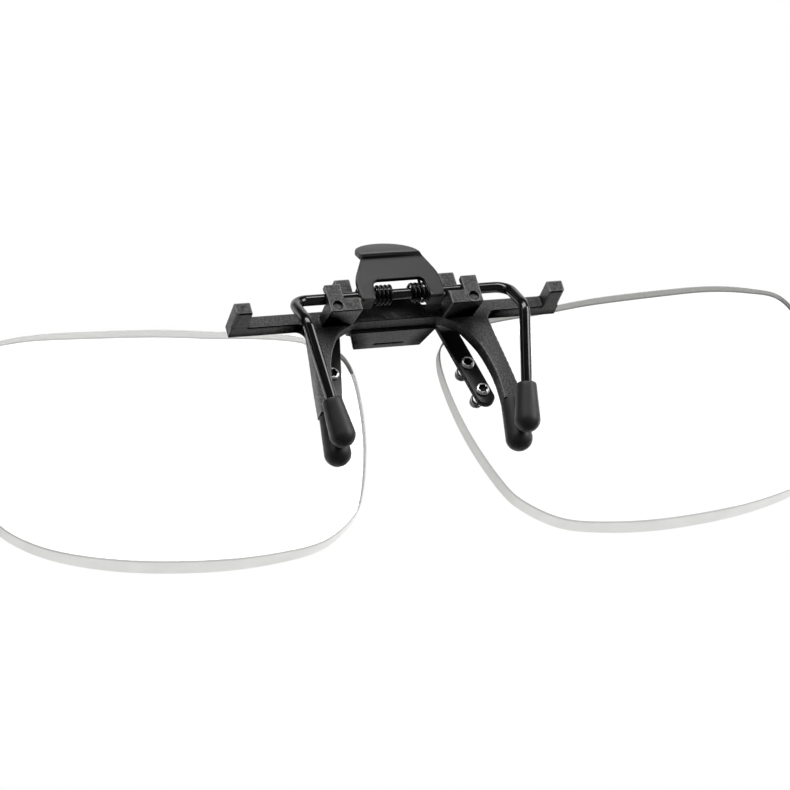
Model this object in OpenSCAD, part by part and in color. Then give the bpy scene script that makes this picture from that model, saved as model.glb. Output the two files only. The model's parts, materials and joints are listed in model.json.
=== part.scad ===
// Clip-on flip-up magnifier: a sprung clip grips a pair of spectacles at the nose,
// and two rimless lenses hang from a carrier that flips up in front of them.
// Millimetres. X runs to the wearer's right, Y forward, away from the face, and Z up.
// The origin is the middle of the bridge's lower edge, on the side of the spectacles.

/* [Clip frame] */
// Thickness of the bridge, arms and legs, front to back
frame_t = 2; // [1.8:0.1:2.6]
// Half of the flat stretch under the bridge, where the arch starts
bridge_half_w = 5.9; // [5:0.1:6.2]
// Height of the bridge bar and top of the arms
bridge_h = 2.15; // [1.8:0.05:2.3]
// Half width of the arch between the legs, at its widest
arch_half_w = 11.8; // [11.6:0.1:13]
// Length of a leg below the bridge
leg_len = 13.8; // [12.5:0.1:16]
// Width of a leg at its foot
leg_foot_w = 2.7; // [2.3:0.05:2.8]
// Reach of an arm, from the middle to its hook's outer side
arm_reach = 23.6; // [21:0.1:28]
// Height of an arm's underside above the bridge's
arm_rise = 0.25; // [0:0.05:0.6]
// Radius of the fillet between arm and leg
arm_fillet = 1.2; // [0.6:0.1:1.6]
// Width of a rest hook
hook_w = 2.3; // [1.8:0.1:3]
// Reach of a rest hook towards the wearer, from the bridge's near face
hook_reach = 3.5; // [2.5:0.1:5]

/* [Bearing blocks] */
// Width of a bearing block
block_w = 4.5; // [4:0.1:5]
// Depth of a block below the bridge's lower edge, where it meets the bridge
block_drop = 0.3; // [0:0.05:0.6]
// Depth of a block below the bridge's lower edge, at its front
block_front_drop = 1.2; // [0.8:0.05:1.3]
// Thickness of the snap finger in front of the wire
front_finger_t = 0.55; // [0.45:0.05:0.8]
// Height of the front finger above the wire's middle
front_finger_h = 1.4; // [1.2:0.05:1.8]
// Thickness of the snap finger behind the wire
back_finger_t = 1.2; // [0.9:0.05:1.4]
// Height of the back finger above the wire's middle
back_finger_h = 3.25; // [2.6:0.05:3.6]
// Radius of the round recess in a block's front
pit_r = 0.7; // [0.5:0.05:0.8]

/* [Jaw wire] */
// Radius of the jaw's wire
wire_r = 0.75; // [0.6:0.05:0.8]
// Distance of the wire's axle in front of the bridge's near face
axle_out = 3.4; // [3.2:0.05:3.8]
// Height of the axle above the bridge's lower edge
axle_up = 1.8; // [1.7:0.05:2]
// Half width over the wire's axle, to its corner
axle_half_w = 15.5; // [15:0.1:16.5]
// Distance of the wire's knee in front of the axle
knee_out = 3.4; // [3:0.1:4.5]
// Depth of the knee below the axle
knee_drop = 5.5; // [5:0.1:6.5]
// Bend radius at the wire's corner
corner_bend_r = 2; // [1.6:0.1:2.4]
// Bend radius at the wire's knee
knee_bend_r = 2.4; // [2:0.1:3]

/* [Rubber ends] */
// Radius of the bulb of a leg's sleeve
sleeve_bulb_r = 1.85; // [1.6:0.05:1.95]
// Radius of a sleeve's mouth
sleeve_mouth_r = 1.42; // [1.35:0.01:1.5]
// Depth of a sleeve's bulb below the leg's foot
sleeve_drop = 5.2; // [4.5:0.1:6.5]
// Forward lean of a sleeve, at its bulb
sleeve_lean = 1.1; // [0.4:0.1:1.1]
// Radius of the bulb of a wire's boot
boot_bulb_r = 1.75; // [1.7:0.05:2]
// Radius of a boot's mouth
boot_mouth_r = 1.35; // [1.1:0.05:1.4]
// Length of a boot from its mouth to the middle of its bulb
boot_len = 5.1; // [4.6:0.1:6.2]
// Gap between a boot and a leg's sleeve with nothing clipped in
jaw_gap = 0.3; // [0.3:0.05:1]

/* [Thumb lever] */
// Thickness of the lever's sheet
lever_t = 0.7; // [0.5:0.05:0.8]
// Half width of the lever at its ears
lever_half_w = 6; // [5.6:0.1:6.2]
// Half width of the lever at its bend
lever_bend_half_w = 4.3; // [3.8:0.1:5]
// Height of the bend above the axle
bend_up = 5.9; // [5:0.1:7]
// Height of the shoulders above the axle
shoulder_up = 2.7; // [2.2:0.1:3.2]
// Height of the notch between the ears above the axle
notch_up = 2; // [1.8:0.1:2.4]
// Half width of the notch at the bottom
notch_half_w = 3.95; // [3.9:0.05:4.2]
// Half width of the thumb flap
flap_half_w = 4.4; // [4:0.1:5.2]
// Length of the thumb flap at its sides
flap_side = 2; // [1.5:0.1:2.6]
// Length of the thumb flap in its middle
flap_mid = 3.9; // [3:0.1:4.5]
// Angle by which the flap leans away from the thumb
flap_lean = 32.6; // [20:0.1:45]
// Depth of an ear's hub, front to back
hub_depth = 2.6; // [2.4:0.1:2.8]

/* [Jaw springs] */
// Thickness of a spring's wire
spring_d = 0.36; // [0.3:0.02:0.44]
// Radius of a spring's coil, to the middle of its wire
spring_r = 1.22; // [1.16:0.02:1.3]
// Pitch of a coil
spring_pitch = 0.8; // [0.8:0.01:0.88]
// Whole curls in a spring
spring_curls = 2; // [2:1:3]

/* [Flip hinge] */
// Distance of the hinge's axis behind the bridge's far face
hinge_out = 1.8; // [1.7:0.05:2.4]
// Height of the hinge's axis above the bridge's lower edge
hinge_up = 2; // [1.9:0.05:2.4]
// Radius of the hinge's knuckles
knuckle_r = 1.4; // [1.2:0.05:1.4]
// Width of each of the carrier's two knuckles
knuckle_w = 2.6; // [2:0.1:3]
// Half width of the clip's middle lug
lug_half_w = 3; // [2.6:0.1:3.4]
// Radius of the hinge pin
pin_r = 0.6; // [0.45:0.05:0.7]
// Thickness of a friction washer
washer_t = 0.25; // [0.2:0.01:0.28]

/* [Lens carrier] */
// Thickness of the tab under the bridge
tab_t = 0.6; // [0.4:0.05:0.6]
// Depth of the tab's underside below the bridge's
tab_drop = 0.3; // [0.3:0.05:0.6]
// Width of the tab beside the bridge
tab_near_w = 12.6; // [11.5:0.1:12.8]
// Width of the tab at its far edge
tab_far_w = 9.65; // [8:0.1:11]
// Length of the tab, front to back
tab_len = 4.1; // [3.6:0.1:5]
// Thickness of a lens arm
strip_t = 0.85; // [0.6:0.05:1]
// Width of a lens arm
strip_w = 2.6; // [2.4:0.05:3]
// Distance of the arms' near face behind the hinge's axis
strip_out = 0.2; // [0.1:0.05:0.4]
// Distance of an arm's upper end from the middle
strip_top_x = 8.2; // [8:0.05:8.4]
// Distance of an arm's lower end from the middle
strip_foot_x = 10.95; // [10.6:0.05:11.6]
// Length of an arm downwards, between the middles of its round ends
strip_drop = 12.4; // [11.6:0.1:13]

/* [Lenses] */
// Width of a lens
lens_w = 56; // [50:0.5:60]
// Height of a lens
lens_h = 37; // [33:0.1:40]
// Thickness of a lens in its middle
lens_mid_t = 3.9; // [3.7:0.1:4.6]
// Radius of the curve of a lens's far face
lens_curve_r = 209; // [205:1:260]
// Distance of a lens's nose edge inward of its upper screw
lens_nose_in = 3.5; // [3.3:0.1:4.5]
// Height of a lens's lower edge below its upper screw
lens_foot_down = 26.6; // [24:0.1:28]
// Gap between a lens and its arm
lens_gap = 0.02; // [0.01:0.01:0.05]

/* [Lens screws] */
// Radius of a screw's shank
screw_r = 0.5; // [0.4:0.05:0.6]
// Radius of a screw's head
head_r = 0.94; // [0.8:0.02:1]
// Height of a screw's head
head_h = 0.5; // [0.4:0.05:0.6]
// Spacing of the two screws along an arm
screw_pitch = 4.5; // [4.2:0.1:5]
// Distance of the lower screw from the middle of the arm's lower end
screw_up = 1; // [0.9:0.1:1.6]
// Radius of the holes through a lens
lens_hole_r = 0.8; // [0.75:0.05:0.9]
// Radius of a cap nut
nut_r = 0.9; // [0.85:0.05:1.2]
// Height of a cap nut's straight side
nut_h = 0.45; // [0.4:0.05:0.8]
// Radius of a soft washer
soft_washer_r = 0.95; // [0.95:0.05:1.4]
// Thickness of a soft washer in its middle
soft_washer_t = 0.35; // [0.3:0.05:0.6]

/* [Clearances] */
// Clearance of the turning wire and pin in their bearings, on the radius
run_gap = 0.05; // [0.02:0.01:0.09]
// Clearance of pieces that are pushed on, on the radius
snug_gap = 0.01; // [0.01:0.01:0.03]
// Side clearance between the lever and the bearing blocks
side_gap = 0.4; // [0.3:0.05:0.6]
// Side clearance of the hinge's knuckles
knuckle_gap = 0.3; // [0.3:0.01:0.4]

/* [Hidden] */
LEFT = -1;
RIGHT = 1;
$fn = 48;
// One overrun serves all cuts
over = 0.5;

// Axle of the jaw and axis of the flip hinge, in the plane of Y and Z
axle = [0, -axle_out, axle_up];
hinge = [0, frame_t + hinge_out, hinge_up];

// Profile of a leg's inner edge, as shares of the arch's half width beyond the bridge, and of the leg's length
arch_shares = [
    [0, 0], [0.36, 0.072], [0.549, 0.152], [0.811, 0.362], [0.951, 0.594], [1, 0.783], [0.992, 1]
];
// Profile of a leg's outer edge, as shares of the foot's width beyond its outer side, and of the leg's length
leg_outer_shares = [[0, 1], [-0.1, 0.8], [-0.2, 0.62], [-0.28, 0.5], [-0.4, 0.32], [-0.49, 0.16]];
// Place of the leg's top outer corner, in foot widths inward of the foot's outer side
leg_top_share = 0.55;
foot_in_x = bridge_half_w + arch_shares[6][0] * (arch_half_w - bridge_half_w);
foot_out_x = foot_in_x + leg_foot_w;
leg_top_x = foot_out_x - leg_top_share * leg_foot_w;
hinge_block_h = hinge_up + knuckle_r;
hinge_block_half_w = 4;
hook_bevel = 0.5;
hook_mark_r = 0.42;
hook_mark_depth = 0.12;
pit_depth = 0.4;
pit_inset = 1.15;

// Bearing blocks lie just outside the thumb lever
block_in_x = lever_half_w + side_gap;
block_out_x = block_in_x + block_w;
bearing_r = wire_r + run_gap;
block_near_y = axle.y - bearing_r - front_finger_t;
cradle_depth = 0.2;
block_bevel = 0.45;
finger_lip = 0.35;
front_finger_w_share = 0.5;
back_finger_w_share = 0.5;

// Leg sleeves
sleeve_in_share = 0.46;
sleeve_top = [foot_in_x + sleeve_in_share * leg_foot_w, frame_t / 2, -leg_len];
sleeve_out_lean_share = -0.01;
sleeve_bulb = sleeve_top + [sleeve_out_lean_share * sleeve_drop, sleeve_lean, -sleeve_drop];
stub_r = 0.85;
stub_len_share = 0.7;

// Wire's path on one side, and the boot that ends it: its bulb lies one jaw gap off the sleeve's
boot_side = 0.2;
boot_lift = 0.4;
bulb_span = boot_bulb_r + sleeve_bulb_r + jaw_gap;
boot_bulb = sleeve_bulb + [
    boot_side, -sqrt(pow(bulb_span, 2) - pow(boot_side, 2) - pow(boot_lift, 2)), boot_lift
];
wire_corner = [axle_half_w, axle.y, axle.z];
wire_knee = [axle_half_w, axle.y - knee_out, axle.z - knee_drop];
boot_dir = unit(boot_bulb - wire_knee);
boot_mouth = boot_bulb - boot_len * boot_dir;
wire_in_boot_share = 0.8;
bend_thin_share = 0.994;
BEND_RUN_IN = 2;
wire_end = boot_mouth + wire_in_boot_share * boot_len * boot_dir;

// Thumb lever: its sheet's near face lies just in front of the wire
lever_skin = 0.05;
lever_near_y = axle.y - wire_r - lever_skin;
ear_floor = 0.25;
notch_taper = 0.35;
notch_round = 0.9;
crease_in = 0.05;
crease_h = 0.3;
flap_corner_r = 1.2;
hub_top_up = 1.15;

// Springs lie just inside the notch's sides
spring_turns = spring_curls + 0.75;
spring_out_x = notch_half_w - spring_d / 2 - run_gap;
spring_in_x = spring_out_x - spring_turns * spring_pitch;
spring_leg_up = 3;
spring_bend_r = 0.4;
spring_seat_gap = 0.05;
RINGS_PER_CURL = 8;
TUBE_SIDES = 6;

// Lens carrier
knuckle_in_x = lug_half_w + knuckle_gap;
knuckle_out_x = knuckle_in_x + knuckle_w;
washer_r = 1.2;
web_half_t = 0.8;
web_inset = 0.4;
tab_gap = 0.3;
tab_near_y = frame_t + tab_gap;
tab_low_z = -tab_drop;
groove_w = 0.25;
groove_depth = 0.12;
groove_len = 4.4;
groove_inset = 1.2;
strip_near_y = hinge.y + strip_out;
strip_top_drop = 0.4;
strip_top = [strip_top_x, hinge.z - strip_top_drop];
strip_foot = [strip_foot_x, strip_top.y - strip_drop];
socket_wall = 0.7;
socket_far_wall = 0.3;
socket_side_wall = 0.45;
socket_up = 1.35;
socket_down = 0.2;

// Screws, from the lower to the upper one
strip_dir = unit(strip_foot - strip_top);
screw_low = strip_foot - screw_up * strip_dir;
screw_high = screw_low - screw_pitch * strip_dir;
screw_places = [screw_low, screw_high];
arm_hole_r = screw_r + snug_gap;
recess_r = 0.42;
lobe_r = 0.16;
recess_depth = 0.3;
dome_h = 0.35;

// Lens outline from nose to temple over the lower edge, as shares of the lens's width and height
lens_shares = [
    [0, 0.747], [0.003, 0.586], [0.024, 0.406], [0.064, 0.222], [0.105, 0.125], [0.19, 0.039],
    [0.305, 0.007], [0.459, 0], [0.657, 0.027], [0.816, 0.084], [0.917, 0.163], [0.971, 0.265],
    [0.996, 0.439], [1, 0.631], [0.989, 0.821], [0.954, 0.934], [0.88, 0.976], [0.774, 1],
    [0.639, 0.999], [0.459, 0.985], [0.319, 0.959], [0.186, 0.934], [0.098, 0.901], [0.026, 0.839]
];
OUTLINE_STEPS = 5;
lens_near_y = strip_near_y + strip_t + lens_gap;
lens_corner = [screw_high.x - lens_nose_in, screw_high.y - lens_foot_down];
lens_mid_shares = [0.5, 0.5];
lens_mid = [lens_corner.x + lens_mid_shares.x * lens_w, lens_corner.y + lens_mid_shares.y * lens_h];
curve_centre = [lens_mid.x, lens_near_y + lens_mid_t - lens_curve_r, lens_mid.y];
curve_reach_share = 0.6;
CURVE_SIDES = 1440;
CURVE_STEPS = 120;

function unit(v) = v / norm(v);
// Smooth curve through points a to d, between b and c
function spline(a, b, c, d, t) =
    0.5 * (2 * b + (c - a) * t + (2 * a - 5 * b + 4 * c - d) * t * t + (3 * b - a - 3 * c + d) * t * t * t);
function closed_spline(p, steps) = [
    for (k = [0 : len(p) - 1]) for (s = [0 : steps - 1])
        spline(p[(k + len(p) - 1) % len(p)], p[k], p[(k + 1) % len(p)], p[(k + 2) % len(p)], s / steps)
];
function open_spline(p, steps) = concat([
    for (k = [0 : len(p) - 2]) for (s = [0 : steps - 1])
        spline(p[max(k - 1, 0)], p[k], p[k + 1], p[min(k + 2, len(p) - 1)], s / steps)
], [p[len(p) - 1]]);
// Depth of a lens's far face at a place in its plane
function lens_far_y(p) = curve_centre.y + sqrt(pow(lens_curve_r, 2) - pow(norm(p - lens_mid), 2));

// Mirrors what is made for the wearer's right to the side asked for
module on_side(side) {
    scale_x = side == RIGHT ? 0 : 1;
    mirror([scale_x, 0, 0]) children();
}

module both_sides() {
    on_side(RIGHT) children();
    on_side(LEFT) children();
}

// Plate whose outline is drawn in X and Z, and whose near face lies at near_y
module plate(near_y, thickness) {
    translate([0, near_y + thickness, 0])
        rotate([90, 0, 0])
            linear_extrude(height = thickness)
                children();
}

// Cylinder along X from one place to another
module bar_x(from_x, to_x, place, r) {
    translate([from_x, place.y, place.z])
        rotate([0, 90, 0])
            cylinder(h = to_x - from_x, r = r);
}

// Cylinder along Y from one depth to another
module bar_y(place, from_y, to_y, r) {
    translate([place.x, from_y, place.y])
        rotate([-90, 0, 0])
            cylinder(h = to_y - from_y, r = r);
}

// Turns what stands on the origin along Z to point from one place to another
module aim(from, to) {
    v = to - from;
    translate(from)
        rotate([0, acos(v.z / norm(v)), atan2(v.y, v.x)])
            children();
}

// Round bar along a list of points, bent at each inner one by the radius given for it.
// A bend is a hair thinner than the bar, and runs a little way into both straights
module bent_bar(points, bends, r) {
    last = len(points) - 1;
    dirs = [for (k = [0 : last - 1]) unit(points[k + 1] - points[k])];
    turn = [for (k = [1 : last - 1]) acos(dirs[k - 1] * dirs[k])];
    cut = [for (k = [0 : last]) k == 0 || k == last ? 0 : bends[k - 1] * tan(turn[k - 1] / 2)];
    for (k = [0 : last - 1])
        aim(points[k] + cut[k] * dirs[k], points[k + 1] - cut[k + 1] * dirs[k])
            cylinder(h = norm(points[k + 1] - points[k]) - cut[k] - cut[k + 1], r = r);
    for (k = [1 : last - 1]) {
        out = unit(dirs[k] - dirs[k - 1]);
        middle = points[k] + out * bends[k - 1] / cos(turn[k - 1] / 2);
        e1 = unit(points[k] - cut[k] * dirs[k - 1] - middle);
        e2 = dirs[k - 1];
        e3 = cross(e1, e2);
        multmatrix([
            [e1.x, e2.x, e3.x, middle.x], [e1.y, e2.y, e3.y, middle.y],
            [e1.z, e2.z, e3.z, middle.z], [0, 0, 0, 1]
        ])
            rotate([0, 0, -BEND_RUN_IN])
                rotate_extrude(angle = turn[k - 1] + 2 * BEND_RUN_IN)
                    translate([bends[k - 1], 0])
                        circle(r = bend_thin_share * r);
    }
}

// Rubber end with its mouth at the origin and its bulb up Z
module bulb_end(mouth_r, bulb_r, length) {
    rotate_extrude()
        intersection() {
            hull() {
                translate([0, length])
                    circle(r = bulb_r);
                translate([-mouth_r, 0])
                    square([2 * mouth_r, mouth_r]);
            }
            translate([0, -over])
                square([bulb_r + over, length + bulb_r + 2 * over]);
        }
}

// Half of the outline of bridge, leg and raised middle
function leg_inner() = [
    for (p = open_spline(arch_shares, 3))
        [bridge_half_w + p.x * (arch_half_w - bridge_half_w), -p.y * leg_len]
];
function leg_outer() = [
    for (p = open_spline(leg_outer_shares, 2)) [foot_out_x + p.x * leg_foot_w, -p.y * leg_len]
];
function arm_corner() = [
    for (a = [180 : -15 : 90])
        [leg_top_x + arm_fillet + arm_fillet * cos(a), arm_rise - arm_fillet + arm_fillet * sin(a)]
];

module frame_outline() {
    polygon(concat(
        [[0, 0]], leg_inner(), leg_outer(), arm_corner(),
        [[arm_reach, arm_rise], [arm_reach, bridge_h], [0, bridge_h]]
    ));
}

module rest_hook() {
    difference() {
        translate([arm_reach - hook_w, -hook_reach, arm_rise])
            cube([hook_w, hook_reach + frame_t / 2, bridge_h - arm_rise]);
        translate([arm_reach, 0, arm_rise])
            rotate([0, 45, 0])
                cube([hook_bevel, 2 * (hook_reach + frame_t), hook_bevel], center = true);
        bar_y([arm_reach - hook_w / 2, (arm_rise + bridge_h) / 2],
            -hook_reach - over, -hook_reach + hook_mark_depth, hook_mark_r);
    }
}

module bearing_block() {
    front_w = front_finger_w_share * block_w;
    back_w = back_finger_w_share * block_w;
    block_top = axle.z - wire_r + cradle_depth;
    pit_z = (block_top - block_bevel - block_front_drop) / 2;
    difference() {
        union() {
            translate([block_in_x, 0, 0])
                rotate([90, 0, 90])
                    linear_extrude(height = block_w)
                        polygon([
                            [frame_t / 2, -block_drop], [frame_t / 2, block_top],
                            [block_near_y + block_bevel, block_top], [block_near_y, block_top - block_bevel],
                            [block_near_y, -block_front_drop], [0, -block_drop]
                        ]);
            translate([block_out_x - front_w, block_near_y, 0])
                cube([front_w, axle.y - finger_lip - block_near_y, axle.z + front_finger_h]);
            translate([block_in_x, axle.y + finger_lip, 0])
                cube([back_w, bearing_r - finger_lip + back_finger_t, axle.z + back_finger_h]);
        }
        bar_x(block_in_x - over, block_out_x + over, axle, bearing_r);
        bar_y([block_out_x - pit_inset, pit_z], block_near_y - over, block_near_y + pit_depth, pit_r);
    }
}

module leg_stub() {
    aim(sleeve_top, sleeve_bulb)
        translate([0, 0, -frame_t / 2])
            cylinder(h = frame_t / 2 + stub_len_share * sleeve_drop, r = stub_r);
}

module clip_frame() {
    color([0.09, 0.09, 0.09]) {
        difference() {
            union() {
                both_sides() {
                    plate(0, frame_t)
                        frame_outline();
                    rest_hook();
                    bearing_block();
                    leg_stub();
                }
                translate([-hinge_block_half_w, 0, 0])
                    cube([2 * hinge_block_half_w, frame_t, hinge_block_h]);
                bar_x(-lug_half_w, lug_half_w, hinge, knuckle_r);
                translate([-lug_half_w, frame_t / 2, hinge.z - knuckle_r])
                    cube([2 * lug_half_w, hinge.y - frame_t / 2, 2 * knuckle_r]);
            }
            bar_x(-lug_half_w - over, lug_half_w + over, hinge, pin_r + snug_gap);
        }
    }
}

module leg_sleeve(side) {
    color([0.13, 0.13, 0.13])
        on_side(side)
            difference() {
                aim(sleeve_top, sleeve_bulb)
                    translate([0, 0, -frame_t / 2])
                        bulb_end(sleeve_mouth_r, sleeve_bulb_r, norm(sleeve_bulb - sleeve_top) + frame_t / 2);
                translate([sleeve_top.x - 3 * sleeve_mouth_r, -3 * sleeve_mouth_r, -leg_len])
                    cube([6 * sleeve_mouth_r, 8 * sleeve_mouth_r, 3 * frame_t]);
                aim(sleeve_top, sleeve_bulb)
                    translate([0, 0, -frame_t])
                        cylinder(h = frame_t + stub_len_share * sleeve_drop + snug_gap, r = stub_r + snug_gap);
            }
}

module leg_sleeve_left() { leg_sleeve(LEFT); }
module leg_sleeve_right() { leg_sleeve(RIGHT); }

// Middle line of a spring: from its seat on the bridge round the wire, and up behind the lever's ear
function spring_path() = concat(
    [
        for (y = [-spring_seat_gap, -spring_seat_gap - spring_d])
            [spring_in_x, y, axle.z + spring_r]
    ],
    [
        for (k = [0 : spring_turns * RINGS_PER_CURL])
            let (a = 90 + 360 * k / RINGS_PER_CURL)
                [
                    spring_in_x + spring_pitch * k / RINGS_PER_CURL,
                    axle.y + spring_r * cos(a),
                    axle.z + spring_r * sin(a)
                ]
    ],
    [
        for (a = [0 : 30 : 90])
            [
                spring_out_x,
                axle.y + spring_r - spring_bend_r * (1 - cos(a)),
                axle.z + spring_leg_up - spring_bend_r * (1 - sin(a))
            ]
    ],
    [[spring_out_x, lever_near_y + lever_t + spring_seat_gap, axle.z + spring_leg_up]]
);

// Rings of a tube round a path that runs mostly across X
function tube_rings(path, r, sides) = [
    for (k = [0 : len(path) - 1])
        let (
            along = unit(path[min(k + 1, len(path) - 1)] - path[max(k - 1, 0)]),
            across = unit([1, 0, 0] - along.x * along),
            other = cross(along, across)
        )
            for (s = [0 : sides - 1])
                path[k] + r * (cos(360 * s / sides) * across + sin(360 * s / sides) * other)
];
function tube_faces(rings, sides) = concat(
    [for (s = [1 : sides - 2]) [0, s, s + 1]],
    [
        for (k = [0 : rings - 2]) for (s = [0 : sides - 1])
            let (a = k * sides + s, b = k * sides + (s + 1) % sides)
                each [[a, a + sides, b], [b, a + sides, b + sides]]
    ],
    [for (s = [1 : sides - 2]) let (a = (rings - 1) * sides) [a, a + s + 1, a + s]]
);

// Least gap between stretches of a path that lie half a curl or more apart along it
function self_gap(path, d) = min([
    for (i = [0 : len(path) - 1]) for (j = [i + RINGS_PER_CURL / 2 : 1 : len(path) - 1])
        norm(path[i] - path[j])
]) - d;
echo(str("Least gap of a jaw spring to itself, mm: ", self_gap(spring_path(), spring_d)));

module jaw_spring(side) {
    path = spring_path();
    color([0.16, 0.16, 0.17])
        on_side(side)
            polyhedron(
                points = tube_rings(path, spring_d / 2, TUBE_SIDES),
                faces = tube_faces(len(path), TUBE_SIDES)
            );
}

module jaw_spring_left() { jaw_spring(LEFT); }
module jaw_spring_right() { jaw_spring(RIGHT); }

module flip_pin() {
    color([0.55, 0.55, 0.56])
        bar_x(-knuckle_out_x, knuckle_out_x, hinge, pin_r);
}

module hinge_washers() {
    color([0.8, 0.8, 0.78])
        both_sides()
            difference() {
                bar_x(lug_half_w, lug_half_w + washer_t, hinge, washer_r);
                bar_x(lug_half_w - over, lug_half_w + washer_t + over, hinge, pin_r + snug_gap);
            }
}

module jaw_wire() {
    half = [wire_corner, wire_knee, wire_end];
    color([0.05, 0.05, 0.055])
        bent_bar(
            concat([for (k = [2 : -1 : 0]) [-half[k].x, half[k].y, half[k].z]], half),
            [knee_bend_r, corner_bend_r, corner_bend_r, knee_bend_r],
            wire_r
        );
}

// One half of the lever's plate, beside the notch
module lever_half() {
    low = axle.z - wire_r - ear_floor;
    notch_top = axle.z + notch_up;
    notch_top_x = notch_half_w - notch_taper;
    polygon(concat(
        [[notch_half_w, low]],
        [
            for (a = [0 : 15 : 90])
                [notch_top_x - notch_round * (1 - cos(a)), notch_top - notch_round * (1 - sin(a))]
        ],
        [[0, notch_top], [0, axle.z + bend_up], [lever_bend_half_w, axle.z + bend_up]],
        [[lever_half_w, axle.z + shoulder_up], [lever_half_w, low]]
    ));
}

// One half of the thumb flap, from the bend up
module flap_half() {
    arc_rise = flap_mid - flap_side;
    arc_r = (pow(flap_half_w, 2) + pow(arc_rise, 2)) / (2 * arc_rise);
    arc_end = asin((flap_half_w - flap_corner_r) / arc_r);
    corner_z = flap_mid - arc_r * (1 - cos(arc_end)) - flap_corner_r;
    polygon(concat(
        [[0, -lever_t], [lever_bend_half_w - crease_in, -lever_t], [lever_bend_half_w - crease_in, crease_h]],
        [[flap_half_w, crease_h + crease_in]],
        [
            for (a = [0 : 15 : 75])
                [flap_half_w - flap_corner_r * (1 - cos(a)), corner_z + flap_corner_r * sin(a)]
        ],
        [for (k = [5 : -1 : 0]) [arc_r * sin(arc_end * k / 5), flap_mid - arc_r * (1 - cos(arc_end * k / 5))]]
    ));
}

module thumb_lever() {
    low = axle.z - wire_r - ear_floor;
    color([0.12, 0.12, 0.125])
        difference() {
            both_sides() {
                plate(lever_near_y, lever_t)
                    lever_half();
                translate([0, lever_near_y, axle.z + bend_up])
                    rotate([-flap_lean, 0, 0])
                        plate(0, lever_t)
                            flap_half();
                translate([notch_half_w, lever_near_y, low])
                    cube([lever_half_w - notch_half_w, hub_depth, axle.z + hub_top_up - low]);
            }
            bar_x(-lever_half_w - over, lever_half_w + over, axle, wire_r + snug_gap);
        }
}

module jaw_boot(side) {
    color([0.15, 0.15, 0.15])
        on_side(side)
            difference() {
                aim(boot_mouth, boot_bulb)
                    bulb_end(boot_mouth_r, boot_bulb_r, boot_len);
                aim(boot_mouth, boot_bulb)
                    translate([0, 0, -over])
                        cylinder(h = over + wire_in_boot_share * boot_len + snug_gap, r = wire_r + snug_gap);
            }
}

module jaw_boot_left() { jaw_boot(LEFT); }
module jaw_boot_right() { jaw_boot(RIGHT); }

// Outline with round ends, along a line from one place to another
module round_strip(from, to, r) {
    v = to - from;
    translate(from)
        rotate(atan2(v.y, v.x)) {
            translate([0, -r])
                square([norm(v), 2 * r]);
            circle(r = r);
            translate([norm(v), 0])
                circle(r = r);
        }
}

// Socket of the carrier that a lens arm's upper end is set in
module arm_socket() {
    low_z = hinge.z - socket_down;
    in_x = knuckle_out_x - web_inset;
    difference() {
        translate([in_x, strip_near_y - socket_wall, low_z])
            cube([
                strip_top.x + strip_w / 2 + socket_side_wall - in_x,
                strip_t + socket_wall + socket_far_wall,
                socket_up + socket_down
            ]);
        plate(strip_near_y - snug_gap, strip_t + 2 * snug_gap)
            round_strip(strip_top, strip_foot, strip_w / 2 + snug_gap);
    }
}

module carrier_tab() {
    translate([0, 0, tab_low_z])
        linear_extrude(height = tab_t)
            polygon([
                [-tab_near_w / 2, tab_near_y], [tab_near_w / 2, tab_near_y],
                [tab_far_w / 2, tab_near_y + tab_len], [-tab_far_w / 2, tab_near_y + tab_len]
            ]);
}

module flip_bracket() {
    color([0.1, 0.1, 0.1])
        difference() {
            union() {
                carrier_tab();
                both_sides() {
                    bar_x(knuckle_in_x, knuckle_out_x, hinge, knuckle_r);
                    translate([knuckle_in_x, hinge.y - web_half_t, tab_low_z + tab_t / 2])
                        cube([knuckle_w - web_inset, 2 * web_half_t, hinge.z - tab_low_z - tab_t / 2]);
                    arm_socket();
                }
            }
            bar_x(-knuckle_out_x - over, knuckle_out_x + over, hinge, pin_r + run_gap);
            translate([-groove_len / 2, tab_near_y + tab_len - groove_inset, tab_low_z - over])
                cube([groove_len, groove_w, over + groove_depth]);
        }
}

module lens_arm(side) {
    color([0.07, 0.07, 0.07])
        on_side(side)
            plate(strip_near_y, strip_t)
                difference() {
                    round_strip(strip_top, strip_foot, strip_w / 2);
                    for (place = screw_places)
                        translate(place)
                            circle(r = arm_hole_r);
                }
}

module lens_arm_left() { lens_arm(LEFT); }
module lens_arm_right() { lens_arm(RIGHT); }

// Round body whose far face has a lens's curve
module curve_body() {
    reach = curve_reach_share * lens_w;
    translate([lens_mid.x, lens_near_y + lens_mid_t, lens_mid.y])
        rotate([-90, 0, 0])
            rotate_extrude($fn = CURVE_STEPS)
                intersection() {
                    translate([0, -lens_curve_r])
                        circle(r = lens_curve_r, $fn = CURVE_SIDES);
                    translate([0, -lens_mid_t - over])
                        square([reach, lens_mid_t + 2 * over]);
                }
}

// Block under the plane that touches a lens's far face at a screw
module under_seat(place) {
    seat = [place.x, lens_far_y(place), place.y];
    aim(seat, curve_centre)
        translate([-lens_mid_t, -lens_mid_t, 0])
            cube([2 * lens_mid_t, 2 * lens_mid_t, 2 * lens_mid_t]);
}

module lens(side) {
    outline = closed_spline([
        for (p = lens_shares) [lens_corner.x + p.x * lens_w, lens_corner.y + p.y * lens_h]
    ], OUTLINE_STEPS);
    color([0.85, 0.9, 0.9, 0.35])
        on_side(side)
            difference() {
                intersection() {
                    plate(lens_near_y, lens_mid_t + over)
                        polygon(outline);
                    curve_body();
                }
                for (place = screw_places)
                    bar_y(place, lens_near_y - over, lens_near_y + lens_mid_t + over, lens_hole_r);
            }
}

module lens_left() { lens(LEFT); }
module lens_right() { lens(RIGHT); }

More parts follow.
